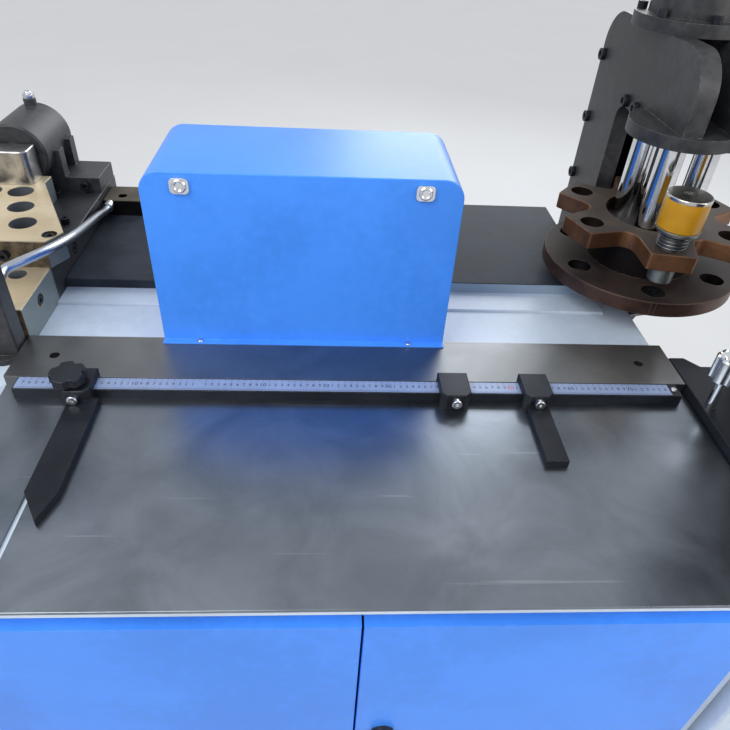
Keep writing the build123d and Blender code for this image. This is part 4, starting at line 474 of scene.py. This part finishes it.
FINISHES["brown_oxide"] = brown_oxide(
    "brown_oxide",
    top=((0.030, 0.021, 0.016), (0.058, 0.042, 0.031)),
    side=((0.15, 0.070, 0.040), (0.30, 0.145, 0.072)))
# The lower disc's darker copy of the finish is painted shade, for the shade it sits in under the upper
# disc.
OWN_FINISH["lower_disc"] = brown_oxide(
    "shaded_brown_oxide",
    top=((0.018, 0.013, 0.012), (0.038, 0.025, 0.022)),
    side=((0.064, 0.038, 0.031), (0.12, 0.070, 0.055)))
OWN_FINISH["gland_block"] = brown_oxide(
    "gland_brown",
    top=((0.070, 0.060, 0.045), (0.12, 0.10, 0.075)),
    side=((0.014, 0.013, 0.014), (0.028, 0.025, 0.025)), paint_bore_shade=False)
# The hub's near-black copy of the finish is painted shade, for the shade deep in the turret's middle.
OWN_FINISH["turret_hub"] = brown_oxide(
    "hub_shaded_brown",
    top=((0.011, 0.009, 0.009), (0.022, 0.017, 0.016)),
    side=((0.016, 0.012, 0.011), (0.030, 0.024, 0.02)), paint_bore_shade=False)
print("finishes", len(FINISHES), "own", sorted(OWN_FINISH))

# %% [markdown]
# Black oxide is a thin conversion coat: blue-black, a little oily, with grey steel showing on the edges.
# On the rear plate it is dull, and towards the right that plate's front face is painted a pale blue grey, a
# painted reflection of the bright surround.

# %% Black oxide
def black_oxide(name, color, rough, shine, wear=0.5, metal=0.35, painted_reflection_from=None):
    """Oiled black conversion coat. Right of the given X the front face is painted pale blue grey, a painted
    reflection.
    """
    f = Finish(name, Specular_IOR_Level=shine)
    cloud = f.noise(12.0, 4.0, 0.6, 0.5)
    grain = f.noise(300.0, 3.0, 0.65)
    rub = f.edge_mask(0.0009) * f.noise(120.0, 4.0, 0.7).between(0.45, 0.62) * wear
    base = f.mix(cloud.between(0.3, 0.75), color, tuple(c * 1.8 + 0.004 for c in color))
    base = f.mix(rub, base, (0.33, 0.33, 0.34))
    # Painted reflection: right of the given X, the front face is painted a pale blue grey.
    if painted_reflection_from is not None:
        reflection_share = f.coords().part("X").between(painted_reflection_from, painted_reflection_from + 0.001)
        base = f.mix(reflection_share * (-f.facing("Y")).between(0.9, 0.99), base, (0.36, 0.46, 0.56))
    f.set("Base Color", base)
    f.set("Metallic", (rub * 0.5 + metal).clamp())
    f.set("Roughness", (cloud * 0.10 + grain * 0.14 + rough).clamp())
    f.set("Normal", f.bump(grain, 0.10, 0.0003, f.soft_edges(0.0008)))
    return f.material


FINISHES["black_oxide"] = black_oxide("black_oxide", (0.010, 0.012, 0.017), 0.32, 0.35)
OWN_FINISH["rear_plate"] = black_oxide("rear_black", (0.018, 0.023, 0.032), 0.50, 0.2, wear=0.3, metal=0.0,
                                       painted_reflection_from=0.151)
print("finishes", len(FINISHES))

# %% [markdown]
# Turned and drawn parts. A lathe leaves fine rings, so the turned steel's lines are noise that changes
# quickly along Z only. Chrome is almost smooth, with a slight waviness that bends its reflections.
# The punch's cap is an oily dark steel inside a bright rim.

# %% Bright metals
def turned_steel(name, low, high, rough):
    """Lathe-turned steel with fine rings round Z."""
    f = Finish(name, Metallic=1.0)
    ring = f.noise(1600.0, 1.0, 0.5, 0.0, (0.004, 0.004, 1.0))
    stain = f.noise(45.0, 4.0, 0.65, 0.4)
    base = f.mix(stain.between(0.35, 0.7), high, low)
    f.set("Base Color", f.mix(ring * 0.3, base, shade(low, 0.6)))
    f.set("Roughness", (ring * 0.14 + stain * 0.12 + rough).clamp())
    f.set("Normal", f.bump(ring, 0.10, 0.0002, f.soft_edges(0.0006)))
    return f.material


def bright(name, color, rough, wave):
    """Plated metal that mirrors its surroundings."""
    f = Finish(name, Metallic=1.0)
    stain = f.noise(30.0, 4.0, 0.6, 0.5)
    f.set("Base Color", f.mix(stain.between(0.3, 0.8), color, shade(color, 0.82)))
    f.set("Roughness", (stain * 0.08 + rough).clamp())
    f.set("Normal", f.bump(f.noise(70.0, 2.0, 0.5), wave, 0.0005, f.soft_edges(0.0006)))
    return f.material


def cap_steel():
    """The punch's cap: an oily dark top with a bright rim that the ram has polished."""
    f = Finish("cap_steel", Metallic=1.0)
    up = f.facing("Z").between(0.94, 0.99)
    stain = f.noise(60.0, 4.0, 0.6, 0.6)
    top = f.mix(stain.between(0.35, 0.65), (0.055, 0.052, 0.043), (0.12, 0.115, 0.095))
    f.set("Base Color", f.mix(up, (0.62, 0.60, 0.57), top))
    f.set("Roughness", (stain * 0.16 + up * 0.16 + 0.12).clamp())
    f.set("Normal", f.bump(f.noise(500.0, 2.0, 0.6), 0.06, 0.0002, f.soft_edges(0.0006)))
    return f.material


FINISHES["turned_steel"] = turned_steel("turned_steel", (0.30, 0.30, 0.30), (0.50, 0.50, 0.50), 0.20)
FINISHES["spring_steel"] = turned_steel("spring_steel", (0.10, 0.10, 0.11), (0.20, 0.20, 0.21), 0.26)
FINISHES["chrome"] = bright("chrome", (0.78, 0.79, 0.81), 0.07, 0.05)
FINISHES["zinc"] = bright("zinc", (0.60, 0.61, 0.63), 0.24, 0.10)
FINISHES["conduit_metal"] = bright("conduit_metal", (0.50, 0.54, 0.60), 0.22, 0.10)
OWN_FINISH["die_button"] = turned_steel("die_steel", (0.040, 0.040, 0.045), (0.085, 0.085, 0.09), 0.30)
OWN_FINISH["punch_sleeve"] = turned_steel("sleeve_steel", (0.20, 0.215, 0.20), (0.34, 0.36, 0.34), 0.30)
OWN_FINISH["punch_flange"] = turned_steel("flange_steel", (0.16, 0.16, 0.15), (0.30, 0.30, 0.28), 0.24)
OWN_FINISH["punch_cap"] = cap_steel()
print("finishes", len(FINISHES))

# %% [markdown]
# Plastics. The punch's elastic ring is cast in a warm yellow that lets a little light in, so it gets a
# touch of subsurface scattering. Knobs and buttons are moulded, with a faint grain.

# %% Plastics
GLOW_DEPTHS = (0.006, 0.003, 0.001)


def plastic(name, color, rough, glow=0.0, grain=500.0, strength=0.08):
    """Moulded plastic or cast elastomer."""
    f = Finish(name, Metallic=0.0, Subsurface_Weight=glow, Subsurface_Radius=GLOW_DEPTHS)
    cloud = f.noise(25.0, 4.0, 0.6, 0.4)
    base = f.mix(cloud.between(0.3, 0.75), shade(color, CLOUDED), color)
    grime = f.noise(90.0, 5.0, 0.7).between(0.62, 0.8) * 0.35
    f.set("Base Color", f.mix(grime, base, shade(color, 0.45)))
    f.set("Roughness", (cloud * 0.12 + rough).clamp())
    f.set("Normal", f.bump(f.noise(grain, 2.0, 0.5), strength, 0.0003, f.soft_edges(0.0008)))
    return f.material


FINISHES["elastic"] = plastic("elastic", (0.62, 0.30, 0.008), 0.26, glow=0.15)
FINISHES["bezel_yellow"] = plastic("bezel_yellow", (0.80, 0.52, 0.02), 0.30)
FINISHES["knob_plastic"] = plastic("knob_plastic", (0.014, 0.014, 0.015), 0.34)
FINISHES["red_plastic"] = plastic("red_plastic", (0.62, 0.025, 0.02), 0.22)
FINISHES["green_plastic"] = plastic("green_plastic", (0.03, 0.32, 0.09), 0.22)
# The rule's white strip is given a blue colour, a painted reflection.
FINISHES["ruler_white"] = plastic("ruler_white", (0.27, 0.35, 0.55), 0.30, grain=900.0, strength=0.03)
print("finishes", len(FINISHES))

# %% [markdown]
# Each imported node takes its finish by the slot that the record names. Its triangles come in loose, so a
# Weld joins them, and an Edge Split then keeps the sharp corners sharp while curved walls shade smoothly.
# Neither moves a vertex.

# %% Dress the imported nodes
WELD_DISTANCE = 0.00001
NODE_CREASE = 28.0


def dress(node, finish, crease):
    """Gives a piece its finish and smooth curved walls, with corners sharp above crease degrees."""
    mesh = node.data
    mesh.materials.clear()
    mesh.materials.append(finish)
    mesh.polygons.foreach_set("use_smooth", [True] * len(mesh.polygons))
    weld = node.modifiers.new("weld", "WELD")
    weld.merge_threshold = WELD_DISTANCE
    split = node.modifiers.new("split", "EDGE_SPLIT")
    split.split_angle = math.radians(crease)


SLOT_OF = {part["node"]: part["material_slot"] for part in frame["record"]["subparts"]}
for node_name, node in NODES.items():
    dress(node, OWN_FINISH.get(node_name, FINISHES[SLOT_OF[node_name]]), NODE_CREASE)
guard.data.materials.append(FINISHES["conduit_metal"])
print("dressed", len(NODES), "nodes in", len(set(SLOT_OF.values())), "finishes")

# %% [markdown]
# The small pieces are bmesh shapes: a drum or a brick from a create operator, its sharp rims bevelled,
# moved onto what carries it. A few helpers keep each piece short. The piece helper gives the mesh its
# finish and its body, and its object stays at the origin, because the place is in the mesh.

# %% Mesh helpers
DOUBLES = 0.000002


def aim(place, axis):
    """A matrix that stands a shape on a place, along an axis."""
    return Matrix.Translation(Vector(place)) @ Vector(axis).to_track_quat("Z", "Y").to_matrix().to_4x4()


def drum(bm, place, radius, height, axis, sides=24):
    """A drum standing on a place."""
    lift = Matrix.Translation((0, 0, height / 2))
    return bmesh.ops.create_cone(bm, cap_ends=True, segments=sides, radius1=radius, radius2=radius,
                                 depth=height, matrix=aim(place, axis) @ lift)["verts"]


def brick(bm, low, high):
    """A box between two corners."""
    low, high = Vector(low), Vector(high)
    middle = Matrix.Translation((low + high) / 2)
    stretch = Matrix.Diagonal((*(high - low), 1.0))
    return bmesh.ops.create_cube(bm, size=1.0, matrix=middle @ stretch)["verts"]


def soften(bm, verts, width, least):
    """Rounds the edges between some vertices that are sharper than least degrees."""
    bm.normal_update()
    edges = {edge for vert in verts for edge in vert.link_edges
             if len(edge.link_faces) == 2 and edge.calc_face_angle() > math.radians(least)}
    bmesh.ops.bevel(bm, geom=list(edges), offset=width, offset_type="OFFSET", segments=2, profile=0.5,
                    affect="EDGES", material=-1)


def turned(bm, place, profile, steps, axis=(0, 0, 1), closed=False):
    """Spins a profile of radius and height pairs round an axis. A closed profile makes a ring."""
    stand = aim(place, axis)
    verts = [bm.verts.new(stand @ Vector((radius, 0, height))) for radius, height in profile]
    pairs = list(zip(verts, verts[1:])) + ([(verts[-1], verts[0])] if closed else [])
    edges = [bm.edges.new(pair) for pair in pairs]
    bmesh.ops.spin(bm, geom=verts + edges, cent=place, axis=axis, dvec=(0, 0, 0), angle=math.tau,
                   steps=steps, use_merge=True, use_duplicate=False)


def piece(name, bm, body, slot_name, finish=None, crease=35.0):
    """Turns a bmesh into a finished piece that rides on a body."""
    bmesh.ops.remove_doubles(bm, verts=bm.verts, dist=DOUBLES)
    bmesh.ops.recalc_face_normals(bm, faces=bm.faces)
    mesh = bpy.data.meshes.new(name)
    bm.to_mesh(mesh)
    bm.free()
    made = bpy.data.objects.new(name, mesh)
    bpy.context.scene.collection.objects.link(made)
    dress(made, finish or FINISHES[slot_name], crease)
    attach(made, body)
    print(name, len(mesh.polygons), "faces")
    return made


print("mesh helpers ready")

# %% [markdown]
# The rule has a mark each millimetre along its front edge and each centimetre along its back, and a
# number each centimetre, with the tens larger. Its zero lies in front of the hood's left part, and it
# counts both ways. Engraved and inked marks are flat, so each is a very thin brick that stands a few
# hundredths of a millimetre above the strip. Numbers are text turned into meshes before they are placed.

# %% Rule marks
RULE_ZERO = -0.218
RULE_TOP = 0.850
RULE_FRONT = -0.180
RULE_BACK = -0.154
RULE_LEFT = -0.498
RULE_RIGHT = 0.549
RULE_MARGIN = 0.0004
INK = 0.00006
FINE_HALF, BOLD_HALF = 0.00011, 0.00022
SHORT_MARK, LONG_MARK, BACK_MARK = 0.0034, 0.0052, 0.0050
SMALL_NUMBER, BIG_NUMBER = 0.0092, 0.0112
NUMBER_ROW = -0.1665
RED_NUMBER = 50


def number_mesh(words, height):
    """A number as a mesh, centred on the origin."""
    font = bpy.data.curves.new("digit", "FONT")
    font.body = words
    font.size = height
    font.align_x = "CENTER"
    font.align_y = "CENTER"
    font.extrude = INK / 2
    font.resolution_u = 2
    holder = bpy.data.objects.new("digit", font)
    bpy.context.scene.collection.objects.link(holder)
    mesh = bpy.data.meshes.new_from_object(holder)
    bpy.data.objects.remove(holder)
    bpy.data.curves.remove(font)
    return mesh


def mark(bm, x, half, front, back):
    """One inked line across the rule."""
    brick(bm, (x - half, front, RULE_TOP), (x + half, back, RULE_TOP + INK))


def rule_marks():
    """Black marks and numbers, and one red number."""
    black, red = bmesh.new(), bmesh.new()
    first = math.ceil((RULE_LEFT - RULE_ZERO) * 1000) + 1
    last = math.floor((RULE_RIGHT - RULE_ZERO) * 1000) - 1
    for count in range(first, last + 1):
        x = RULE_ZERO + count * MM
        length = LONG_MARK if count % 5 == 0 else SHORT_MARK
        mark(black, x, FINE_HALF, RULE_FRONT + RULE_MARGIN, RULE_FRONT + length)
        if count % 10:
            continue
        mark(black, x, BOLD_HALF, RULE_BACK - BACK_MARK, RULE_BACK - RULE_MARGIN)
        if count == 0:
            continue
        tens = count % 100 == 0
        words = str(abs(count) // 10) if tens else str(abs(count) // 10 % 10)
        mesh = number_mesh(words, BIG_NUMBER if tens else SMALL_NUMBER)
        mesh.transform(Matrix.Translation((x, NUMBER_ROW, RULE_TOP + INK / 2)))
        (red if tens and count // 10 == RED_NUMBER else black).from_mesh(mesh)
        bpy.data.meshes.remove(mesh)
    piece("rule_marks", black, "machine", "black_oxide", FINISHES["knob_plastic"])
    piece("rule_red_number", red, "machine", "red_plastic")


rule_marks()

# %% [markdown]
# The return spring under the punch's flange is a real helix: one small circle spun four turns while it
# climbs. When the ram pushes the punch down, the coils close up.

# %% Return spring
STATION_RADIUS = 0.145
PUNCH_X = TURRET_AXIS[0] + STATION_RADIUS * math.cos(STATION_ANGLE)
PUNCH_Y = TURRET_AXIS[1] + STATION_RADIUS * math.sin(STATION_ANGLE)
DISC_TOP = 1.002
FLANGE_UNDER = 1.030
WIRE_RADIUS = 0.0016
WIRE_CLEAR = 0.0002
COIL_RADIUS = 0.0246
TURNS = 4
TURN_STEPS = 32


def return_spring():
    """Four turns of wire between the disc and the flange, with flat closed wire ends."""
    bm = bmesh.new()
    steps = TURNS * TURN_STEPS
    low = DISC_TOP + WIRE_RADIUS + WIRE_CLEAR
    high = FLANGE_UNDER - WIRE_RADIUS - WIRE_CLEAR
    circle = bmesh.ops.create_circle(bm, cap_ends=True, segments=10, radius=WIRE_RADIUS,
                                     matrix=aim((COIL_RADIUS, 0, 0), (0, 1, 0)))["verts"]
    geom = circle + list({edge for vert in circle for edge in vert.link_edges}) + list(bm.faces)
    bmesh.ops.spin(bm, geom=geom, cent=(0, 0, 0), axis=(0, 0, 1), dvec=(0, 0, (high - low) / steps),
                   angle=math.tau * TURNS, steps=steps, use_merge=False, use_duplicate=False)
    bmesh.ops.translate(bm, vec=(PUNCH_X, PUNCH_Y, low), verts=bm.verts)
    spring = piece("return_spring", bm, "turret", "spring_steel")
    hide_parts("coil_spring")
    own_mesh(spring)


return_spring()

# %% [markdown]
# The yellow ring is cast elastomer between two steel discs. Turned on a lathe from a profile, its rims are
# rounded and its sides swell a little. As the cap comes down it flattens towards the flange.

# %% Elastic ring
RING_LOW = 1.0413
RING_HIGH = 1.0941
RING_RADIUS = 0.037
RING_BORE = 0.016
RING_RIM = ((0.0016, 0.0), (0.0005, 0.0006), (0.0002, 0.002))


def elastic_ring():
    """A ring with rounded rims and a slight swell."""
    bm = bmesh.new()
    height = RING_HIGH - RING_LOW
    rim = [(RING_RADIUS - inward, up) for inward, up in RING_RIM]
    profile = [(RING_BORE, 0)] + rim + [(RING_RADIUS, height * 0.3), (RING_RADIUS, height * 0.7)]
    profile += [(radius, height - up) for radius, up in reversed(rim)] + [(RING_BORE, height)]
    turned(bm, (PUNCH_X, PUNCH_Y, RING_LOW), profile, 96, closed=True)
    ring = piece("elastic_ring", bm, "punch_guide", "elastic", crease=50.0)
    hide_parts("punch_ring")
    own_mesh(ring)


elastic_ring()

# %% [markdown]
# Fittings close the hydraulic ports: a hexagon with a domed plug. They are the same on all three
# cylinders, and point out of the cylinder, so one function takes a place and a direction.

# %% Port fittings
PORTS = [((0.6372, 0.4298, 1.426), (0, 1, 0)),
         ((0.740, -0.180, 1.346), (0, 1, 0)),
         ((BENDER_X, 0.528, 1.070), (0, 0, 1))]
NUT_RADIUS = 0.0125
NUT_HEIGHT = NUT_RADIUS * 0.8
PLUG_PROFILE = [(0.0, 0.0068), (0.0044, 0.0062), (0.0072, 0.0042), (0.0082, 0.0015), (0.0082, -0.0006),
                (0.0, -0.0006)]


def fitting(bm, place, axis):
    """A hexagon and a domed plug on a port's end."""
    soften(bm, drum(bm, place, NUT_RADIUS, NUT_HEIGHT, axis, sides=6), NUT_RADIUS * 0.06, 20.0)
    turned(bm, Vector(place) + Vector(axis) * NUT_HEIGHT, PLUG_PROFILE, 24, axis)


fittings = bmesh.new()
for place, axis in PORTS:
    fitting(fittings, place, axis)
piece("port_fittings", fittings, "machine", "zinc")

# %% [markdown]
# The control box is a folded sheet box. Its buttons stand in round bezels, the emergency button's is
# yellow, and four screws hold the sloping front. The slope's own axes are worked out once, and every
# piece on it is placed by a distance across and a distance up.

# %% Control panel
PANEL_LOW = Vector((0.0, -0.152, 1.180))
PANEL_UP = Vector((0, 0.060, 0.216)).normalized()
PANEL_OUT = Vector((0, -PANEL_UP.z, PANEL_UP.y))
EMERGENCY = (-0.570, 0.060)
START = (-0.628, 0.060)
PANEL_SCREWS = [(x, up) for x in (-0.776, -0.532) for up in (0.016, 0.208)]
SCREW_RADIUS = 0.0032
CROSS_LONG, CROSS_WIDE, CROSS_HIGH = 0.62, 0.10, 0.20


def on_panel(x, up):
    """A place on the sloping front."""
    return Vector((x, 0, 0)) + PANEL_LOW + PANEL_UP * up


def bezel(name, place, inner, outer, height, slot_name, finish):
    """A flat ring with bevelled rims round a button."""
    bm = bmesh.new()
    rim = height * 0.35
    profile = [(inner, 0), (inner, height - rim), (inner + rim, height), (outer - rim, height),
               (outer, height - rim), (outer, 0)]
    turned(bm, on_panel(*place), profile, 64, PANEL_OUT, closed=True)
    piece(name, bm, "machine", slot_name, finish)


def screw_head(bm, place, axis, radius):
    """A domed head with a thin cross that stands for its slots."""
    height = radius * 0.62
    profile = [(0.0, height), (radius * 0.45, height * 0.94), (radius * 0.8, height * 0.62), (radius, 0.0),
               (0.0, 0.0)]
    turned(bm, place, profile, 20, axis)
    tip = aim(Vector(place) + Vector(axis) * (height * 0.86), axis)
    for x, y in ((CROSS_LONG, CROSS_WIDE), (CROSS_WIDE, CROSS_LONG)):
        bar = brick(bm, Vector((-x, -y, 0)) * radius, Vector((x, y, CROSS_HIGH)) * radius)
        bmesh.ops.transform(bm, matrix=tip, verts=bar)


bezel("emergency_bezel", EMERGENCY, 0.0222, 0.0330, 0.0014, "elastic", FINISHES["bezel_yellow"])
bezel("start_bezel", START, 0.0152, 0.0205, 0.0024, "chrome", FINISHES["chrome"])
screws = bmesh.new()
for spot in PANEL_SCREWS:
    screw_head(screws, on_panel(*spot), PANEL_OUT, SCREW_RADIUS)
piece("panel_screws", screws, "machine", "zinc")

# %% [markdown]
# Socket head bolts hold the welded plates of the press and of the shear, and the post's foot. Each head
# is a drum with a bevelled rim. Its top is inset, the inset's corners are moved onto a hexagon, and that
# face is pushed in for the key.

# %% Frame bolts
PRESS_SIDES = ((0.572, -1), (0.702, 1))
PRESS_BOLTS = [(0.525, 0.95), (0.525, 1.08), (0.525, 1.21), (0.300, 1.1625), (0.352, 1.1625)]
SHEAR_SIDES = ((0.690, -1), (0.790, 1))
SHEAR_BOLTS = [(y, z) for y in (-0.400, -0.144) for z in (0.900, 1.000, 1.150)]
FRAME_BOLT = (0.012, 0.010)
FOOT_BOLT = (0.0085, 0.008)
FOOT_BOLT_IN = 0.022
FOOT_BOLT_Y = -0.073
FOOT_HIGH = 0.010
KEY_SHARE = 0.5


def bolt_head(bm, place, axis, radius, height):
    """A socket head with a six-sided pocket."""
    stand = aim(place, axis)
    soften(bm, drum(bm, place, radius, height, axis), radius * 0.10, 60.0)
    tip = stand @ Vector((0, 0, height))
    top = min(bm.faces, key=lambda face: (face.calc_center_median() - tip).length)
    bmesh.ops.inset_region(bm, faces=[top], thickness=radius * 0.38, depth=0.0)
    for vert in top.verts:
        spot = stand.inverted() @ vert.co
        bend = math.atan2(spot.y, spot.x) % math.radians(60) - math.radians(30)
        reach = radius * KEY_SHARE / math.cos(bend) / math.hypot(spot.x, spot.y)
        vert.co = stand @ Vector((spot.x * reach, spot.y * reach, spot.z))
    bmesh.ops.inset_region(bm, faces=[top], thickness=radius * 0.01, depth=-height * 0.5)


def frame_bolts():
    """The bolts of the press, the shear and the post's foot."""
    bm = bmesh.new()
    for sides, spots in ((PRESS_SIDES, PRESS_BOLTS), (SHEAR_SIDES, SHEAR_BOLTS)):
        for x, way in sides:
            for y, z in spots:
                bolt_head(bm, (x, y, z), (way, 0, 0), *FRAME_BOLT)
    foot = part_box("control_post")[0]
    bolt_head(bm, (foot[0] + FOOT_BOLT_IN, FOOT_BOLT_Y, foot[2] + FOOT_HIGH), (0, 0, 1), *FOOT_BOLT)
    piece("frame_bolts", bm, "machine", "black_oxide")


frame_bolts()

# %% [markdown]
# Two scribed lines on the lower disc's rim show where the working station is. They are very thin bricks
# that stand a tenth of a millimetre off the rim and turn with the disc.

# %% Station marks
SCRIBE_ANGLES = (-103.2, -100.6)
SCRIBE_LOW = (0.1855, -0.00018, 0.8830)
SCRIBE_HIGH = (0.1861, 0.00018, 0.9085)

scribes = bmesh.new()
for degrees in SCRIBE_ANGLES:
    line = brick(scribes, SCRIBE_LOW, SCRIBE_HIGH)
    turn = Matrix.Translation(TURRET_AXIS) @ Matrix.Rotation(math.radians(degrees), 4, "Z")
    bmesh.ops.transform(scribes, matrix=turn, verts=line)
piece("station_marks", scribes, "turret", "turned_steel")

# %% [markdown]
# The cabinet's back has pressed louvres: over each slot the sheet bulges out like a small roof, so that
# nothing drips in. A brick whose lower outer edge is pulled outwards has that shape. Small screws hold
# the housings' sheets to the base.

# %% Louvres and sheet screws
LOUVRE_BACK = 0.532
LOUVRE_MIDDLES = (-0.2575, 0.265)
LOUVRE_ROWS = [0.560 + row * 0.022 for row in range(9)]
ROOF_HALF = 0.131
ROOF_THICK = 0.001
ROOF_LOW, ROOF_HIGH = 0.0055, 0.0125
LIP_PULL = (0, 0.0055, -0.004)
ROOF_ROUND = 0.0008
LEFT_FACES = [((x, -0.150, z), (0, -1, 0)) for x in (-0.850, -0.545) for z in (0.150, 0.470, 0.800)]
RIGHT_FACES = [((x, -0.545, z), (0, -1, 0)) for x in (0.606, 0.852) for z in (0.150, 0.420, 0.680)]
BACK_FACES = [((x, LOUVRE_BACK, z), (0, 1, 0)) for x in (-0.498, 0.0, 0.500) for z in (0.160, 0.480, 0.800)]
SHEET_SCREW_RADIUS = 0.0045


def louvre(bm, middle, low):
    """One small roof over a slot."""
    roof = brick(bm, (middle - ROOF_HALF, LOUVRE_BACK, low + ROOF_LOW),
                 (middle + ROOF_HALF, LOUVRE_BACK + ROOF_THICK, low + ROOF_HIGH))
    outer, half_way = LOUVRE_BACK + ROOF_THICK / 2, low + (ROOF_LOW + ROOF_HIGH) / 2
    lip = [vert for vert in roof if vert.co.y > outer and vert.co.z < half_way]
    bmesh.ops.translate(bm, vec=LIP_PULL, verts=lip)
    soften(bm, roof, ROOF_ROUND, 20.0)


roofs = bmesh.new()
for middle in LOUVRE_MIDDLES:
    for low in LOUVRE_ROWS:
        louvre(roofs, middle, low)
piece("louvres", roofs, "machine", "cabinet_paint")
sheet_screws = bmesh.new()
for spot, axis in LEFT_FACES + RIGHT_FACES + BACK_FACES:
    screw_head(sheet_screws, spot, axis, SHEET_SCREW_RADIUS)
piece("sheet_screws", sheet_screws, "machine", "zinc")

# %% [markdown]
# The room is a plain pale floor and a pale surround, with three broad soft lamps. To the camera and in
# reflections the world is paler than the light it gives, and the floor has an even glow mixed in, so the
# background is pale while the object is lit at a plain level and keeps its shadow.

# %% Studio
FLOOR_SIZE = 60.0
FLOOR_EVEN = 0.6
FLOOR_GLOW = (0.80, 0.81, 0.83)
CONCRETE = ((0.62, 0.63, 0.64), (0.67, 0.68, 0.69))
WORLD_SEEN = (0.74, 0.76, 0.79)
WORLD_LIT = (0.48, 0.50, 0.53)
LAMPS = [("key", (-1.6, -1.6, 3.4), (0, 0, 0.8), 2.2, 80, (1, 1, 1)),
         ("window", (1.2, 3.2, 2.6), (0, 0.2, 0.8), 2.4, 70, (0.92, 0.96, 1.0)),
         ("fill", (3.0, -2.0, 2.2), (0.3, 0, 0.8), 2.0, 62, (1.0, 0.97, 0.94))]


def seen_share(tree):
    """A socket that is 1 to the camera and in reflections, and 0 to light that falls on the object."""
    path = tree.nodes.new("ShaderNodeLightPath")
    share = path.outputs["Is Camera Ray"]
    for ray in ("Is Glossy Ray", "Is Transmission Ray"):
        either = tree.nodes.new("ShaderNodeMath")
        either.operation = "MAXIMUM"
        tree.links.new(share, either.inputs[0])
        tree.links.new(path.outputs[ray], either.inputs[1])
        share = either.outputs[0]
    return share


def plain_shader(tree, kind, color):
    """A shader of one colour."""
    shader = tree.nodes.new(kind)
    shader.inputs["Color"].default_value = (*color, 1.0)
    return shader


def show(tree, share, lit, seen, out_node):
    """Sends a mix of two shaders to the output."""
    mixer = tree.nodes.new("ShaderNodeMixShader")
    tree.links.new(share, mixer.inputs[0])
    tree.links.new(lit.outputs[0], mixer.inputs[1])
    tree.links.new(seen.outputs[0], mixer.inputs[2])
    tree.links.new(mixer.outputs[0], out_node.inputs["Surface"])


def floor_finish():
    """Pale sealed concrete that looks evenly pale, and still takes the machine's shadow."""
    f = Finish("floor", Metallic=0.0, Roughness=0.85, Specular_IOR_Level=0.2)
    f.set("Base Color", f.mix(f.noise(1.5, 5.0, 0.6).between(0.3, 0.7), *CONCRETE))
    share = Wire(f, seen_share(f.tree)) * FLOOR_EVEN
    glow = plain_shader(f.tree, "ShaderNodeEmission", FLOOR_GLOW)
    show(f.tree, share.socket, f.shader, glow, f.tree.nodes["Material Output"])
    return f.material


def make_floor():
    """A big plain square under the feet."""
    mesh = bpy.data.meshes.new("floor")
    bm = bmesh.new()
    bmesh.ops.create_grid(bm, x_segments=1, y_segments=1, size=FLOOR_SIZE / 2)
    bm.to_mesh(mesh)
    bm.free()
    floor = bpy.data.objects.new("floor", mesh)
    bpy.context.scene.collection.objects.link(floor)
    mesh.materials.append(floor_finish())


def make_world():
    """A pale surround."""
    world = bpy.data.worlds.new("world")
    bpy.context.scene.world = world
    world.use_nodes = True
    tree = world.node_tree
    tree.nodes.clear()
    lit = plain_shader(tree, "ShaderNodeBackground", WORLD_LIT)
    seen = plain_shader(tree, "ShaderNodeBackground", WORLD_SEEN)
    show(tree, seen_share(tree), lit, seen, tree.nodes.new("ShaderNodeOutputWorld"))


def lamp(name, place, target, size, power, color):
    """A broad square lamp that looks at a point."""
    light = bpy.data.lights.new(name, "AREA")
    light.shape = "SQUARE"
    light.size = size
    light.energy = power
    light.color = color
    holder = bpy.data.objects.new(name, light)
    bpy.context.scene.collection.objects.link(holder)
    holder.location = place
    holder.rotation_euler = (Vector(target) - Vector(place)).to_track_quat("-Z", "Y").to_euler()


make_floor()
make_world()
for row in LAMPS:
    lamp(*row)
bpy.context.scene.view_settings.view_transform = "Standard"
print("lamps", len(bpy.data.lights))

# %% [markdown]
# Last, the view layer is brought up to date.

# %% Finish
bpy.context.view_layer.update()
